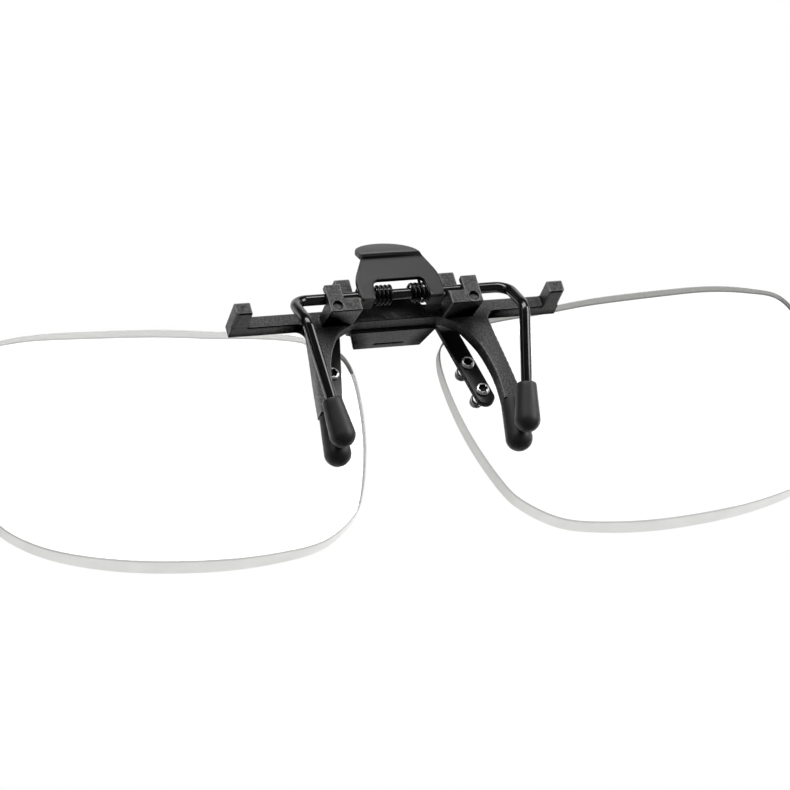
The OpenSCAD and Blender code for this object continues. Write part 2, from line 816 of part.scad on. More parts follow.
module lens_bushes(side) {
    color([0.9, 0.9, 0.88])
        on_side(side)
            for (place = screw_places)
                difference() {
                    intersection() {
                        bar_y(place, lens_near_y, lens_near_y + lens_mid_t, lens_hole_r - snug_gap);
                        under_seat(place);
                    }
                    bar_y(place, lens_near_y - over, lens_near_y + lens_mid_t + over, screw_r + snug_gap);
                }
}

module lens_bushes_left() { lens_bushes(LEFT); }
module lens_bushes_right() { lens_bushes(RIGHT); }

module lens_washers(side) {
    color([0.2, 0.2, 0.2])
        on_side(side)
            for (place = screw_places)
                difference() {
                    bar_y(place, lens_far_y(place) - soft_washer_t, lens_far_y(place) + soft_washer_t,
                        soft_washer_r);
                    under_seat(place);
                    bar_y(place, lens_near_y - over, lens_far_y(place) + soft_washer_t + over,
                        screw_r + snug_gap);
                }
}

module lens_washers_left() { lens_washers(LEFT); }
module lens_washers_right() { lens_washers(RIGHT); }

module lens_screws(side) {
    color([0.75, 0.76, 0.78])
        on_side(side)
            for (place = screw_places)
                difference() {
                    union() {
                        bar_y(place, strip_near_y - head_h, strip_near_y, head_r);
                        bar_y(place, strip_near_y - head_h / 2,
                            lens_far_y(place) + soft_washer_t + nut_h, screw_r);
                    }
                    for (a = [0 : 60 : 300])
                        bar_y(place + recess_r * [cos(a), sin(a)], strip_near_y - head_h - over,
                            strip_near_y - head_h + recess_depth, lobe_r);
                    bar_y(place, strip_near_y - head_h - over, strip_near_y - head_h + recess_depth, recess_r);
                }
}

module lens_screws_left() { lens_screws(LEFT); }
module lens_screws_right() { lens_screws(RIGHT); }

module cap_nuts(side) {
    dome_r = (pow(nut_r, 2) + pow(dome_h, 2)) / (2 * dome_h);
    color([0.08, 0.08, 0.08])
        on_side(side)
            for (place = screw_places) {
                seat_y = lens_far_y(place) + soft_washer_t;
                difference() {
                    intersection() {
                        bar_y(place, seat_y, seat_y + nut_h + dome_h, nut_r);
                        translate([place.x, seat_y + nut_h + dome_h - dome_r, place.y])
                            sphere(r = dome_r);
                    }
                    bar_y(place, seat_y - over, seat_y + nut_h + snug_gap, screw_r + snug_gap);
                }
            }
}

module cap_nuts_left() { cap_nuts(LEFT); }
module cap_nuts_right() { cap_nuts(RIGHT); }

clip_frame();
leg_sleeve_left();
leg_sleeve_right();
jaw_spring_left();
jaw_spring_right();
flip_pin();
hinge_washers();
jaw_wire();
thumb_lever();
jaw_boot_left();
jaw_boot_right();
flip_bracket();
lens_arm_left();
lens_arm_right();
lens_left();
lens_right();
lens_bushes_left();
lens_bushes_right();
lens_screws_left();
lens_screws_right();
lens_washers_left();
lens_washers_right();
cap_nuts_left();
cap_nuts_right();
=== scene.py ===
import json
import math

import bmesh
import bpy
import numpy as np
from bpy.props import FloatProperty, FloatVectorProperty, IntProperty, PointerProperty
from mathutils import Matrix, Vector
from mathutils.geometry import delaunay_2d_cdt


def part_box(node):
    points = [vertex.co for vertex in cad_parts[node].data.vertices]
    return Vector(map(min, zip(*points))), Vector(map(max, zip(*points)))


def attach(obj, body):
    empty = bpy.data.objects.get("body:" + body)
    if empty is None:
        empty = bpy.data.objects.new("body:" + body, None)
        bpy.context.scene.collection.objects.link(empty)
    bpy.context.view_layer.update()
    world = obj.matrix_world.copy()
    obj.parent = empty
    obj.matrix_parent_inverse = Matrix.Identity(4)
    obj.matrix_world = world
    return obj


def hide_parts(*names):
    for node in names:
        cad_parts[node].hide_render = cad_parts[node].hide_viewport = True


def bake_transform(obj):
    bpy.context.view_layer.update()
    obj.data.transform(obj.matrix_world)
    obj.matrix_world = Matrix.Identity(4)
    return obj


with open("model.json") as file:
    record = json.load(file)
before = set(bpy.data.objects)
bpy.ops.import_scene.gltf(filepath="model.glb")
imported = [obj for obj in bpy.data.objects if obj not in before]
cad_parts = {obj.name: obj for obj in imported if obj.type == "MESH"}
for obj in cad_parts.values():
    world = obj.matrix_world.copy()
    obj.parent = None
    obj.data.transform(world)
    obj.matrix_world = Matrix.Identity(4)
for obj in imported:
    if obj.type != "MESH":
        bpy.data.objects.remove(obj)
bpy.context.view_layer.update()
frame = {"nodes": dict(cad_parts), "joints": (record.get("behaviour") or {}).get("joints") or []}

bl_info = {
    "name": "Clip-on Magnifier",
    "version": (1, 0, 0),
    "blender": (4, 5, 0),
    "location": "3D View > Sidebar > Magnifier",
    "description": "Dresses a clip-on, flip-up magnifier in plastic, rubber, enamel, steel and clear lenses",
    "category": "Object",
}

NODES = frame["nodes"]
SIDES = {"left": -1, "right": 1}
MM = 0.001
AXLE = Vector(next(j["pos_m"] for j in frame["joints"] if j["name"] == "jaw_squeeze"))

# The plan of the clip, in metres: the wearer's right is +X, and forward is +Y
WIRE_R = 0.75 * MM
KNEE_OUT, KNEE_DROP = 3.4 * MM, 5.5 * MM
CORNER_BEND, KNEE_BEND = 2 * MM, 2.4 * MM
WIRE_IN_BOOT = 0.8
BOOT_MOUTH_R, RUBBER_SIDES = 1.35 * MM, 56
LEVER_NEAR_Y = -4.2 * MM
EAR_LOW, EAR_HALF_W = 0.8 * MM, 6 * MM
NOTCH_TOP, NOTCH_HALF_W, NOTCH_TOP_X = 3.8 * MM, 3.95 * MM, 3.6 * MM
SHOULDER, BEND_Z, BEND_HALF_W = (6 * MM, 4.3 * MM, 5 * MM), 7.7 * MM, 4.3 * MM
FLAP_CROWN_X, FLAP_TIP_Z, FLAP_TIP_H = -0.7 * MM, 1.75 * MM, 2.13 * MM
FLAP_SWEEP_Z, FLAP_SWEEP_H = 0.3 * MM, 3.58 * MM
FLAP_LEAN = math.radians(32.6)
LEVER_T, FOLD_R, CREASE_Z = 0.7 * MM, 0.9 * MM, BEND_Z - 0.05 * MM
HUB_NEAR, HUB_DEPTH, HUB_TOP = 0.25 * MM, 2.6 * MM, 2.95 * MM
COIL_R, COIL_WIRE_R, COIL_TURNS = 1.22 * MM, 0.21 * MM, 3.75
COIL_IN_X, COIL_OUT_X = 1.52 * MM, 3.72 * MM
COIL_LEG_UP, COIL_BEND, COIL_SEAT_Y = 3 * MM, 0.4 * MM, -0.05 * MM
STRIP_TOP, STRIP_FOOT = Vector((8.2, 1.6)) * MM, Vector((10.95, -10.8)) * MM
STRIP_HALF_W, STRIP_NEAR_Y, STRIP_T = 1.3 * MM, 4 * MM, 0.85 * MM
STRIP_DOWN = (STRIP_FOOT - STRIP_TOP).normalized()
SCREW_LOW = STRIP_FOOT - 1.0 * MM * STRIP_DOWN
SCREWS = (SCREW_LOW, SCREW_LOW - 4.5 * MM * STRIP_DOWN)
STRIP_HOLE_R, LENS_HOLE_R = 0.52 * MM, 0.8 * MM
LENS_CURVE_R = 209 * MM
HEAD_R, HEAD_H, SHANK_R = 0.94 * MM, 0.5 * MM, 0.5 * MM
NUT_R, NUT_H, DOME_H, NUT_EASE = 0.9 * MM, 0.45 * MM, 0.35 * MM, 0.12 * MM
TUBE_END_SHARE = 0.3

# Tones that several finishes share: painted shade for nooks and undersides, and a painted highlight for edges
PAINTED_SHADE_TONE, PAINTED_HIGHLIGHT_TONE = (0.001, 0.001, 0.001, 1), (0.17, 0.17, 0.167, 1)


class MagnifierSizes(bpy.types.PropertyGroup):
    """Sizes that the looks add to the plan"""

    edge_round: FloatProperty(
        name="Edge round", description="Rounding of the sheet pieces' edges", default=0.12 * MM, unit="LENGTH"
    )
    mould_grid: FloatProperty(
        name="Mould grid", description="Fineness of the moulded pieces' skin", default=0.11 * MM,
        unit="LENGTH",
    )
    mould_softness: IntProperty(
        name="Mould softness", description="Rounds of smoothing on moulded edges", default=5, min=0, max=20
    )
    lens_chamfer: FloatProperty(
        name="Lens chamfer", description="Width of the polished bevel round a lens", default=0.18 * MM,
        unit="LENGTH",
    )
    crease_step: FloatProperty(
        name="Crease step", description="Height of the thumb flap's foot over the plate", default=0.2 * MM,
        unit="LENGTH",
    )
    lip_round: FloatProperty(
        name="Lip round", description="Rounding of a rubber end's mouth", default=0.22 * MM, unit="LENGTH"
    )


class MagnifierColours(bpy.types.PropertyGroup):
    """Colours of the finishes"""

    plastic: FloatVectorProperty(
        name="Plastic", description="Clip frame and bracket", default=(0.013, 0.013, 0.0125), subtype="COLOR"
    )
    rubber: FloatVectorProperty(
        name="Rubber", description="Sleeves and boots", default=(0.012, 0.012, 0.0117), subtype="COLOR"
    )
    enamel: FloatVectorProperty(
        name="Enamel", description="Jaw wire, lens arms and nuts", default=(0.006, 0.006, 0.006),
        subtype="COLOR",
    )
    lever: FloatVectorProperty(
        name="Lever", description="Satin finish of the thumb lever", default=(0.0095, 0.0095, 0.0093),
        subtype="COLOR",
    )
    # Also the colour of the lens rim's painted glow
    ground_edge: FloatVectorProperty(
        name="Ground edge", description="Ground rim of a lens", default=(0.80, 0.805, 0.78), subtype="COLOR"
    )
    floor: FloatVectorProperty(
        name="Floor", description="Pale floor of the stage", default=(0.1, 0.1, 0.1), subtype="COLOR"
    )


# Finishes


def fill(node, inputs):
    """Gives a node's inputs their values, or links them to the sockets that drive them"""
    for key, value in inputs.items():
        if isinstance(value, bpy.types.NodeSocket):
            node.id_data.links.new(value, node.inputs[key])
        else:
            node.inputs[key].default_value = value


def adder(tree):
    """A function that adds a node to a tree"""

    def add(kind, inputs=None, **settings):
        node = tree.nodes.new("ShaderNode" + kind)
        for key, value in settings.items():
            setattr(node, key, value)
        fill(node, inputs or {})
        return node

    return add


def new_finish(name):
    """A material with its shader, and a function that adds a node to it"""
    finish = bpy.data.materials.new(name)
    finish.use_nodes = True
    return finish, finish.node_tree.nodes["Principled BSDF"], adder(finish.node_tree)


def noise(add, grain, detail=3.0, roughness=0.6, stretch=None):
    """Noise whose features are as large as grain, in metres"""
    place = add("TexCoord").outputs["Object"]
    if stretch:
        place = add("Mapping", {"Vector": place, "Scale": stretch}).outputs["Vector"]
    return add(
        "TexNoise", {"Vector": place, "Scale": 1 / grain, "Detail": detail, "Roughness": roughness}
    ).outputs["Fac"]


def ranged(add, value, start, end, low=0.0, high=1.0, **settings):
    """A value's range from start to end turned into another range"""
    inputs = {"Value": value, "From Min": start, "From Max": end, "To Min": low, "To Max": high}
    return add("MapRange", inputs, **settings).outputs["Result"]


def spread(add, value, low, high):
    """Noise turned into a range of roughness or strength"""
    return ranged(add, value, 0.3, 0.7, low, high)


def mottle(add, value, colour, lift):
    """Colour that wanders between itself and a lifted tone"""
    ramp = add("ValToRGB", {"Fac": value})
    ends = ramp.color_ramp.elements
    ends[0].position, ends[1].position = 0.35, 0.7
    ends[0].color = (*colour, 1)
    ends[1].color = (*(c * lift for c in colour), 1)
    return ramp.outputs["Color"]


def maths(add, operation, *values):
    """One operation on values or sockets"""
    return add("Math", dict(enumerate(values)), operation=operation).outputs["Value"]


def product(add, a, b):
    """One value times another"""
    return maths(add, "MULTIPLY", a, b)


def mixed(add, factor, a, b, data_type="FLOAT"):
    """a where the factor is 0, turning into b where it is 1"""
    return add("Mix", {"Factor": factor, "A": a, "B": b}, data_type=data_type).outputs["Result"]


def tint(add, factor, a, b):
    """One colour turning into another"""
    return mixed(add, factor, a, b, "RGBA")


def bumped(add, height, strength, distance):
    """A skin raised by its height"""
    return add("Bump", {"Height": height, "Strength": strength, "Distance": distance}).outputs["Normal"]


def openness(add, reach, low, high):
    """1 on open skin, falling to 0 in nooks; the finishes paint shade with it"""
    near = add("AmbientOcclusion", {"Distance": reach}, samples=8).outputs["AO"]
    return ranged(add, near, low, high)


def along(add, axis, kind="Object"):
    """A place's coordinate along an axis, or another texture coordinate's"""
    return add("SeparateXYZ", {"Vector": add("TexCoord").outputs[kind]}).outputs[axis]


def facing(add, axis):
    """How far the skin faces along an axis, from -1 to 1"""
    return along(add, axis, "Normal")


def shelter(add, unshaded):
    """Openness that is far stricter on undersides, which see little but their neighbours; the finishes paint
    shade on undersides with it
    """
    return mixed(add, ranged(add, facing(add, "Z"), -0.1, -0.5), unshaded, openness(add, 4.5 * MM, 0.95, 1.0))


def low_edges(add):
    """1 where level edges round off from a front to an underside, where the plastic paints a dark line of
    shade
    """
    across, up = facing(add, "X"), facing(add, "Z")
    level = ranged(add, product(add, across, across), 0.02, 0.1, 1.0, 0.0)
    rounding = product(add, ranged(add, up, -0.1, -0.28), ranged(add, up, -0.98, -0.9))
    return product(add, level, rounding)


def seen_rays(add):
    """The light path's outputs, and 1 for rays from the camera, through a lens or off a mirror"""
    path = add("LightPath").outputs
    seen = maths(add, "MAXIMUM", path["Is Camera Ray"], path["Is Transmission Ray"])
    return path, maths(add, "MAXIMUM", seen, path["Is Singular Ray"])


def plastic_finish(name, colour, grain, height, rough, dull):
    """Moulded plastic with a spark-eroded skin, painted shade in nooks, on undersides and along edges that
    round off into undersides, and a painted highlight on its other rounded edges
    """
    finish, shader, add = new_finish(name)
    skin = noise(add, grain, detail=4.0, roughness=0.75)
    patches = noise(add, 2.4 * MM, detail=4.0)
    # Painted highlight: rounded edges take a lighter tone, except on undersides
    edge = add("NewGeometry").outputs["Pointiness"]
    not_under = ranged(add, facing(add, "Z"), -0.85, -0.5)
    painted_light = product(add, ranged(add, edge, 0.506, 0.535, 0.0, 0.9), not_under)
    # Painted shade: a dark line where level edges round off into an underside
    edge_shade = product(add, ranged(add, edge, 0.503, 0.512), low_edges(add))
    # Painted shade: nooks and sheltered undersides take the near-black tone and lose their specular
    unshaded = product(add, shelter(add, openness(add, 7 * MM, 0.0, 0.8)), ranged(add, edge_shade, 0.0, 1.0, 1.0, 0.0))
    grainy = tint(add, 0.45, mottle(add, skin, colour, 2.6), mottle(add, patches, colour, 1.6))
    fill(shader, {
        "Base Color": tint(add, unshaded, PAINTED_SHADE_TONE, tint(add, painted_light, grainy, PAINTED_HIGHLIGHT_TONE)),
        "Roughness": spread(add, skin, rough + 0.12, rough - 0.08),
        "Specular IOR Level": product(add, ranged(add, skin, 0.4, 0.62, dull, 0.82), unshaded),
        "Normal": bumped(add, skin, 1.0, height),
    })
    return finish


def rubber_finish(colour):
    """Soft rubber, matt and a little dusty, with a fine skin; made once for all that is rubber"""
    if "rubber_skin" in bpy.data.materials:
        return bpy.data.materials["rubber_skin"]
    finish, shader, add = new_finish("rubber_skin")
    dust = noise(add, 1.4 * MM, detail=5.0, roughness=0.65)
    skin = noise(add, 0.09 * MM, detail=2.0)
    fill(shader, {
        "Base Color": mottle(add, dust, colour, 1.5),
        "Roughness": spread(add, dust, 0.42, 0.58),
        "Normal": bumped(add, skin, 0.5, 0.012 * MM),
        "Sheen Weight": 0.12,
        "Sheen Roughness": 0.4,
    })
    return finish


def enamel_finish(name, colour, rough, ripple, coat=0.0, shine=0.5):
    """Baked enamel with the faint ripple of its flow, under a clear coat"""
    finish, shader, add = new_finish(name)
    flow = noise(add, 1.1 * MM)
    skin = noise(add, 0.22 * MM, detail=2.0)
    fill(shader, {
        "Base Color": mottle(add, flow, colour, 1.5),
        "Roughness": spread(add, flow, rough - 0.03, rough + 0.05),
        "Normal": bumped(add, skin, 0.35, ripple),
        "Specular IOR Level": shine,
        "Coat Weight": coat,
        "Coat Roughness": 0.08,
    })
    return finish


def lever_finish(colour):
    """Satin enamel on sheet steel, with painted shade in the pressed crease, a painted highlight that
    lightens the flap where it leans back towards the light, and painted highlights on its edges
    """
    finish, shader, add = new_finish("lever_satin")
    flow = noise(add, 1.8 * MM)
    skin = noise(add, 0.07 * MM, roughness=0.7)
    height = along(add, "Z")
    away = maths(add, "ABSOLUTE", maths(add, "SUBTRACT", height, CREASE_Z))
    # Painted shade: a dark band along the pressed crease, where the specular is turned down too
    crease_shade = ranged(add, away, 0.15 * MM, 0.9 * MM, 0.95, 0.0, interpolation_type="SMOOTHSTEP")
    # Painted highlight: the flap above the crease leans back towards the light and takes a lighter tone
    painted_light = ranged(add, height, CREASE_Z + 0.3 * MM, CREASE_Z + 3 * MM)
    tone = tint(add, painted_light, mottle(add, flow, colour, 1.12), (0.055, 0.055, 0.0535, 1))
    tone = tint(add, crease_shade, tone, (0.002, 0.002, 0.002, 1))
    # Painted highlight: the rounded edges take a lighter tone
    lit_edges = ranged(add, add("NewGeometry").outputs["Pointiness"], 0.52, 0.58, 0.0, 0.8)
    tone = tint(add, lit_edges, tone, PAINTED_HIGHLIGHT_TONE)
    shine = ranged(add, crease_shade, 0.0, 0.95, 0.26, 0.02)
    fill(shader, {
        "Base Color": tone,
        # Painted shade: the specular falls away in nooks and on sheltered undersides
        "Specular IOR Level": product(add, shine, shelter(add, openness(add, 4 * MM, 0.5, 0.97))),
        "Roughness": spread(add, flow, 0.36, 0.44),
        "Normal": bumped(add, skin, 0.5, 0.006 * MM),
        "Coat Weight": 0.15,
        "Coat Roughness": 0.3,
    })
    return finish


def steel_finish(name, colour, rough, drawn):
    """Steel with fine drawing marks along it"""
    finish, shader, add = new_finish(name)
    marks = noise(add, 0.12 * MM, detail=4.0, stretch=drawn)
    stain = noise(add, 0.9 * MM)
    fill(shader, {
        "Base Color": mottle(add, stain, colour, 1.25),
        "Roughness": spread(add, marks, rough - 0.06, rough + 0.08),
        "Normal": bumped(add, marks, 0.25, 0.006 * MM),
        "Metallic": 1.0,
    })
    return finish


def nylon_finish(name, colour, through):
    """Natural nylon, cloudy and waxy"""
    finish, shader, add = new_finish(name)
    cloud = noise(add, 0.5 * MM)
    fill(shader, {
        "Base Color": mottle(add, cloud, colour, 1.08),
        "Roughness": spread(add, cloud, 0.3, 0.42),
        "Subsurface Weight": through,
        "Subsurface Scale": 0.6 * MM,
    })
    return finish


def clear_finish(name):
    """Clear cast resin; its polish wanders a little"""
    finish, shader, add = new_finish(name)
    fill(shader, {
        "Roughness": spread(add, noise(add, 4 * MM, detail=2.0), 0.0, 0.003),
        "Base Color": (0.995, 0.998, 0.996, 1),
        "Transmission Weight": 1.0,
        "IOR": 1.5,
    })
    return finish


def ground_finish(name, colour, painted_glow):
    """Ground lens rim: fine wheel marks in a pale, cloudy skin. Its glow is painted light, an emission that
    stands in for the light the lens pipes to it, strongest where the rim faces down.
    Seen from within the lens it glows a painted grey, lighter where the wall faces up or down, over a darker
    base colour"""
    finish, shader, add = new_finish(name)
    marks = noise(add, 0.16 * MM, detail=4.0, roughness=0.7, stretch=(1.0, 0.12, 1.0))
    skin = mottle(add, noise(add, 3.2 * MM, detail=2.0), [c * 0.9 for c in colour], 1.1)
    within = add("NewGeometry").outputs["Backfacing"]
    up = facing(add, "Z")
    level = ranged(add, maths(add, "ABSOLUTE", up), 0.35, 0.9)
    shade = tint(add, level, (0.16, 0.16, 0.155, 1), (0.33, 0.33, 0.32, 1))
    # Painted light: the rim glows by emission; seen from within, the glow is a painted grey over a darker
    # base
    fill(shader, {
        "Emission Color": tint(add, within, skin, shade),
        "Emission Strength": ranged(add, up, -0.8, 0.4, painted_glow, painted_glow * 0.15),
        "Base Color": tint(add, within, [c * 0.6 for c in colour] + [1], (0.1, 0.1, 0.097, 1)),
        "Roughness": spread(add, marks, 0.42, 0.62),
        "Normal": bumped(add, marks, 0.5, 0.01 * MM),
    })
    return finish


# Mesh makers


def linked(name, data):
    """A new object in the scene"""
    made = bpy.data.objects.new(name, data)
    bpy.context.scene.collection.objects.link(made)
    return made


def new_piece(name, verts, faces, finishes, body=None, slot=None, stands_for=(), smooth=True):
    """A mesh piece that rides on a body and stands for CAD nodes"""
    mesh = bpy.data.meshes.new(name)
    mesh.from_pydata([tuple(v) for v in verts], [], faces)
    mesh.validate()
    shape = bmesh.new()
    shape.from_mesh(mesh)
    bmesh.ops.recalc_face_normals(shape, faces=shape.faces)
    shape.to_mesh(mesh)
    shape.free()
    for finish in finishes:
        mesh.materials.append(finish)
    mesh.polygons.foreach_set("use_smooth", [smooth] * len(mesh.polygons))
    piece = linked(name, mesh)
    settle(piece, body, slot, stands_for)
    return piece


def settle(piece, body, slot, stands_for):
    """Ties a piece to its body and hides the nodes it stands for; its slot is not used"""
    if body:
        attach(piece, body)
    if stands_for:
        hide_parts(*stands_for)


def even_normals(piece):
    """Keeps flat faces flat beside their rounded edges"""
    weigh = piece.modifiers.new("even_normals", "WEIGHTED_NORMAL")
    weigh.mode = "FACE_AREA"
    weigh.keep_sharp = True


def ring_faces(sides, rings):
    """Quads between rings of points that lie one after another, and a cap at each end"""
    faces = []
    last = (rings - 1) * sides
    for a in range(0, last, sides):
        b = a + sides
        for s in range(sides):
            t = (s + 1) % sides
            faces.append((a + s, a + t, b + t, b + s))
    return faces + [tuple(range(sides))[::-1], tuple(range(last, last + sides))]


def tube(path, radius, sides):
    """A round bar along a path, with softly rounded ends"""
    path = [Vector(p) for p in path]
    ways = [(path[min(k + 1, len(path) - 1)] - path[max(k - 1, 0)]).normalized() for k in range(len(path))]
    across = ways[0].orthogonal().normalized()
    stations = []
    for place, way in zip(path, ways):
        across = (across - across.dot(way) * way).normalized()
        stations.append((place, way, across, radius))
    soft = TUBE_END_SHARE * radius
    for end, sign in ((0, -1), (-1, 1)):
        place, way, side, _ = stations[end]
        caps = [
            (place + sign * way * soft * (math.sin(a) - 1), way, side, radius - soft * (1 - math.cos(a)))
            for a in (math.radians(30), math.radians(60), math.radians(90))
        ]
        stations[end] = (place - sign * way * soft, way, side, radius)
        stations = stations + caps if sign > 0 else caps[::-1] + stations
    angles = [2 * math.pi * s / sides for s in range(sides)]
    verts = [
        place + r * (math.cos(a) * side + math.sin(a) * way.cross(side))
        for place, way, side, r in stations for a in angles
    ]
    return verts, ring_faces(sides, len(stations))


def bent_path(points, bends, turn_step=math.radians(7.5)):
    """Points joined by straights, with an arc of its bend radius at each inner one"""
    points = [Vector(p) for p in points]
    path = [points[0]]
    for k in range(1, len(points) - 1):
        into = (points[k] - points[k - 1]).normalized()
        out = (points[k + 1] - points[k]).normalized()
        turn = into.angle(out)
        cut = bends[k - 1] * math.tan(turn / 2)
        start = points[k] - cut * into
        inward = (out - into).normalized()
        middle = points[k] + inward * bends[k - 1] / math.cos(turn / 2)
        spin = into.cross(out).normalized()
        steps = max(2, math.ceil(turn / turn_step))
        for s in range(steps + 1):
            path.append(middle + Matrix.Rotation(turn * s / steps, 3, spin) @ (start - middle))
    return path + [points[-1]]


def turned(profile, sides, swell=None):
    """A body turned about Z from a profile of radius and height; swell changes the radius by its angle"""
    verts = []
    for r, h in profile:
        for s in range(sides):
            a = 2 * math.pi * s / sides
            reach = r * swell(a, r, h) if swell else r
            verts.append(Vector((reach * math.cos(a), reach * math.sin(a), h)))
    return verts, ring_faces(sides, len(profile))


def in_mm(*points):
    """A profile's points, given in millimetres"""
    return [(r * MM, h * MM) for r, h in points]


def aimed(start, end):
    """Turns what stands on the origin along Z to stand at start and point to end"""
    way = (Vector(end) - Vector(start)).normalized()
    return Matrix.Translation(start) @ way.to_track_quat("Z", "Y").to_matrix().to_4x4()


def arc(middle, radius, start, end, steps):
    """Points of a circle's arc, in degrees"""
    return [
        (middle[0] + radius * math.cos(math.radians(a)), middle[1] + radius * math.sin(math.radians(a)))
        for a in np.linspace(start, end, steps + 1)
    ]


def rounded(corners, steps=6):
    """A polygon's outline with each corner (x, z, radius) rounded"""
    outline = []
    count = len(corners)
    for k, (x, z, r) in enumerate(corners):
        here = Vector((x, z))
        before, after = Vector(corners[k - 1][:2]), Vector(corners[(k + 1) % count][:2])
        into, out = (here - before).normalized(), (after - here).normalized()
        turn = math.atan2(into.x * out.y - into.y * out.x, into.dot(out))
        if r <= 0 or abs(turn) < 0.02:
            outline.append(here)
            continue
        cut = r * math.tan(abs(turn) / 2)
        start = here - cut * into
        inward = Vector((-into.y, into.x)) * (1 if turn > 0 else -1)
        middle = start + r * inward
        spoke = start - middle
        for s in range(steps + 1):
            a = turn * s / steps
            across = spoke.x * math.cos(a) - spoke.y * math.sin(a)
            up = spoke.x * math.sin(a) + spoke.y * math.cos(a)
            outline.append(middle + Vector((across, up)))
    return outline


def drawn_in(loop, inset, hole):
    """A loop moved into its sheet by inset"""
    moved = []
    count = len(loop)
    for k in range(count):
        into = (loop[k] - loop[k - 1]).normalized()
        out = (loop[(k + 1) % count] - loop[k]).normalized()
        left = Vector((-(into.y + out.y), into.x + out.x)).normalized()
        widen = 1 / max(0.5, left.dot(Vector((-out.y, out.x))))
        moved.append(loop[k] + inset * widen * left * (-1 if hole else 1))
    return moved


def circle(middle, radius, sides):
    """A loop round a place in the sheet"""
    return [Vector(p) for p in arc(middle, radius, 0, 360, sides)[:-1]]


def inside(point, loop):
    """Whether a point lies in a loop"""
    hit = False
    for k in range(len(loop)):
        a, b = loop[k - 1], loop[k]
        if (a.y > point.y) != (b.y > point.y) and point.x < a.x + (point.y - a.y) * (b.x - a.x) / (b.y - a.y):
            hit = not hit
    return hit


def sheet(outer, holes, soft, steps, place, grid, extra=()):
    """A sheet with rounded edges. Its outline and its holes all turn left round what they enclose.
    place(point, depth, far) puts a point at a depth below the near face, or below the far one.
    The result is verts, faces, and the indices at which the far cap's and the rims' faces start."""
    loops = [(outer, False)] + [(hole, True) for hole in holes]
    inner = [drawn_in(loop, soft, hole) for loop, hole in loops]
    flat = [p for loop in inner for p in loop]
    edges, at = [], 0
    for loop in inner:
        edges += [(at + k, at + (k + 1) % len(loop)) for k in range(len(loop))]
        at += len(loop)
    low = Vector((min(p.x for p in outer), min(p.y for p in outer)))
    high = Vector((max(p.x for p in outer), max(p.y for p in outer)))
    for x in np.arange(low.x + grid / 2, high.x, grid):
        for z in list(np.arange(low.y + grid / 2, high.y, grid)) + list(extra):
            p = Vector((x, z))
            if not inside(p, inner[0]) or any(inside(p, hole) for hole in inner[1:]):
                continue
            near = min((p - q).length_squared for loop in inner for q in loop)
            if near > (0.35 * grid) ** 2:
                flat.append(p)
    points, _, triangles, kept, _, _ = delaunay_2d_cdt(flat, edges, [], 1, 1e-9)
    of = {source: k for k, sources in enumerate(kept) for source in sources}
    triangles = [
        t for t in triangles
        if not any(inside(sum((points[k] for k in t), Vector((0, 0))) / 3, hole) for hole in inner[1:])
    ]
    verts = [place(p, 0, False) for p in points] + [place(p, 0, True) for p in points]
    count = len(points)
    near_cap = [tuple(t) for t in triangles]
    far_cap = [tuple(k + count for k in t[::-1]) for t in triangles]
    rims = []
    at = 0
    for loop, hole in loops:
        size = len(loop)
        rings = [[of[at + k] for k in range(size)]]
        for far, order in ((False, range(1, steps + 1)), (True, range(steps, 0, -1))):
            for s in order:
                a = math.radians(90 * s / steps)
                ring_loop = drawn_in(loop, soft * (1 - math.sin(a)), hole)
                rings.append(list(range(len(verts), len(verts) + size)))
                verts += [place(p, soft * (1 - math.cos(a)), far) for p in ring_loop]
        rings.append([of[at + k] + count for k in range(size)])
        for a, b in zip(rings, rings[1:]):
            rims += [(a[k], a[(k + 1) % size], b[(k + 1) % size], b[k]) for k in range(size)]
        at += size
    return verts, near_cap + far_cap + rims, (len(near_cap), len(near_cap) + len(far_cap))


def moulded(node, name, finish, slot, body, sizes, grid_share=1.0):
    """A CAD node's form with the soft edges and hollows that a mould leaves"""
    mesh = NODES[node].data.copy()
    mesh.transform(Matrix.Scale(1 / MM, 4))
    shape = bmesh.new()
    shape.from_mesh(mesh)
    bmesh.ops.remove_doubles(shape, verts=shape.verts, dist=1e-4)
    shape.to_mesh(mesh)
    shape.free()
    rough = linked(name + "_rough", mesh)
    skin = rough.modifiers.new("skin", "REMESH")
    skin.mode = "VOXEL"
    skin.voxel_size = sizes.mould_grid / MM * grid_share
    soften = rough.modifiers.new("soften", "SMOOTH")
    soften.factor = 0.5
    soften.iterations = sizes.mould_softness
    made = bpy.data.meshes.new_from_object(rough.evaluated_get(bpy.context.evaluated_depsgraph_get()))
    bpy.data.objects.remove(rough)
    made.name = name
    made.transform(Matrix.Scale(MM, 4))
    made.materials.clear()
    made.materials.append(finish)
    made.polygons.foreach_set("use_smooth", [True] * len(made.polygons))
    settle(linked(name, made), body, slot, (node,))


def node_points(node):
    """A CAD node's corners, as rows of X, Y and Z"""
    return np.array([v.co for v in NODES[node].data.vertices], float)


def bulb_of(node):
    """Middle and radius of the round lower end of a rubber node"""
    points = node_points(node)
    low = points[:, 2].min()
    points = points[points[:, 2] < low + 1.2 * MM]
    rows = np.c_[2 * points, np.ones(len(points))]
    found = np.linalg.lstsq(rows, (points ** 2).sum(1), rcond=None)[0]
    middle = found[:3]
    return Vector(middle), math.sqrt(found[3] + middle @ middle)


def mouth_of(node, bulb):
    """Middle of a boot's mouth: the ring furthest from its bulb"""
    points = node_points(node)
    away = np.linalg.norm(points - np.array(bulb), axis=1)
    ring = points[away > away.max() - 0.03 * MM]
    return Vector((ring.min(0) + ring.max(0)) / 2)


def dress(node, finish):
    """Gives a CAD node that stays in view its finish"""
    materials = NODES[node].data.materials
    materials.clear()
    materials.append(finish)


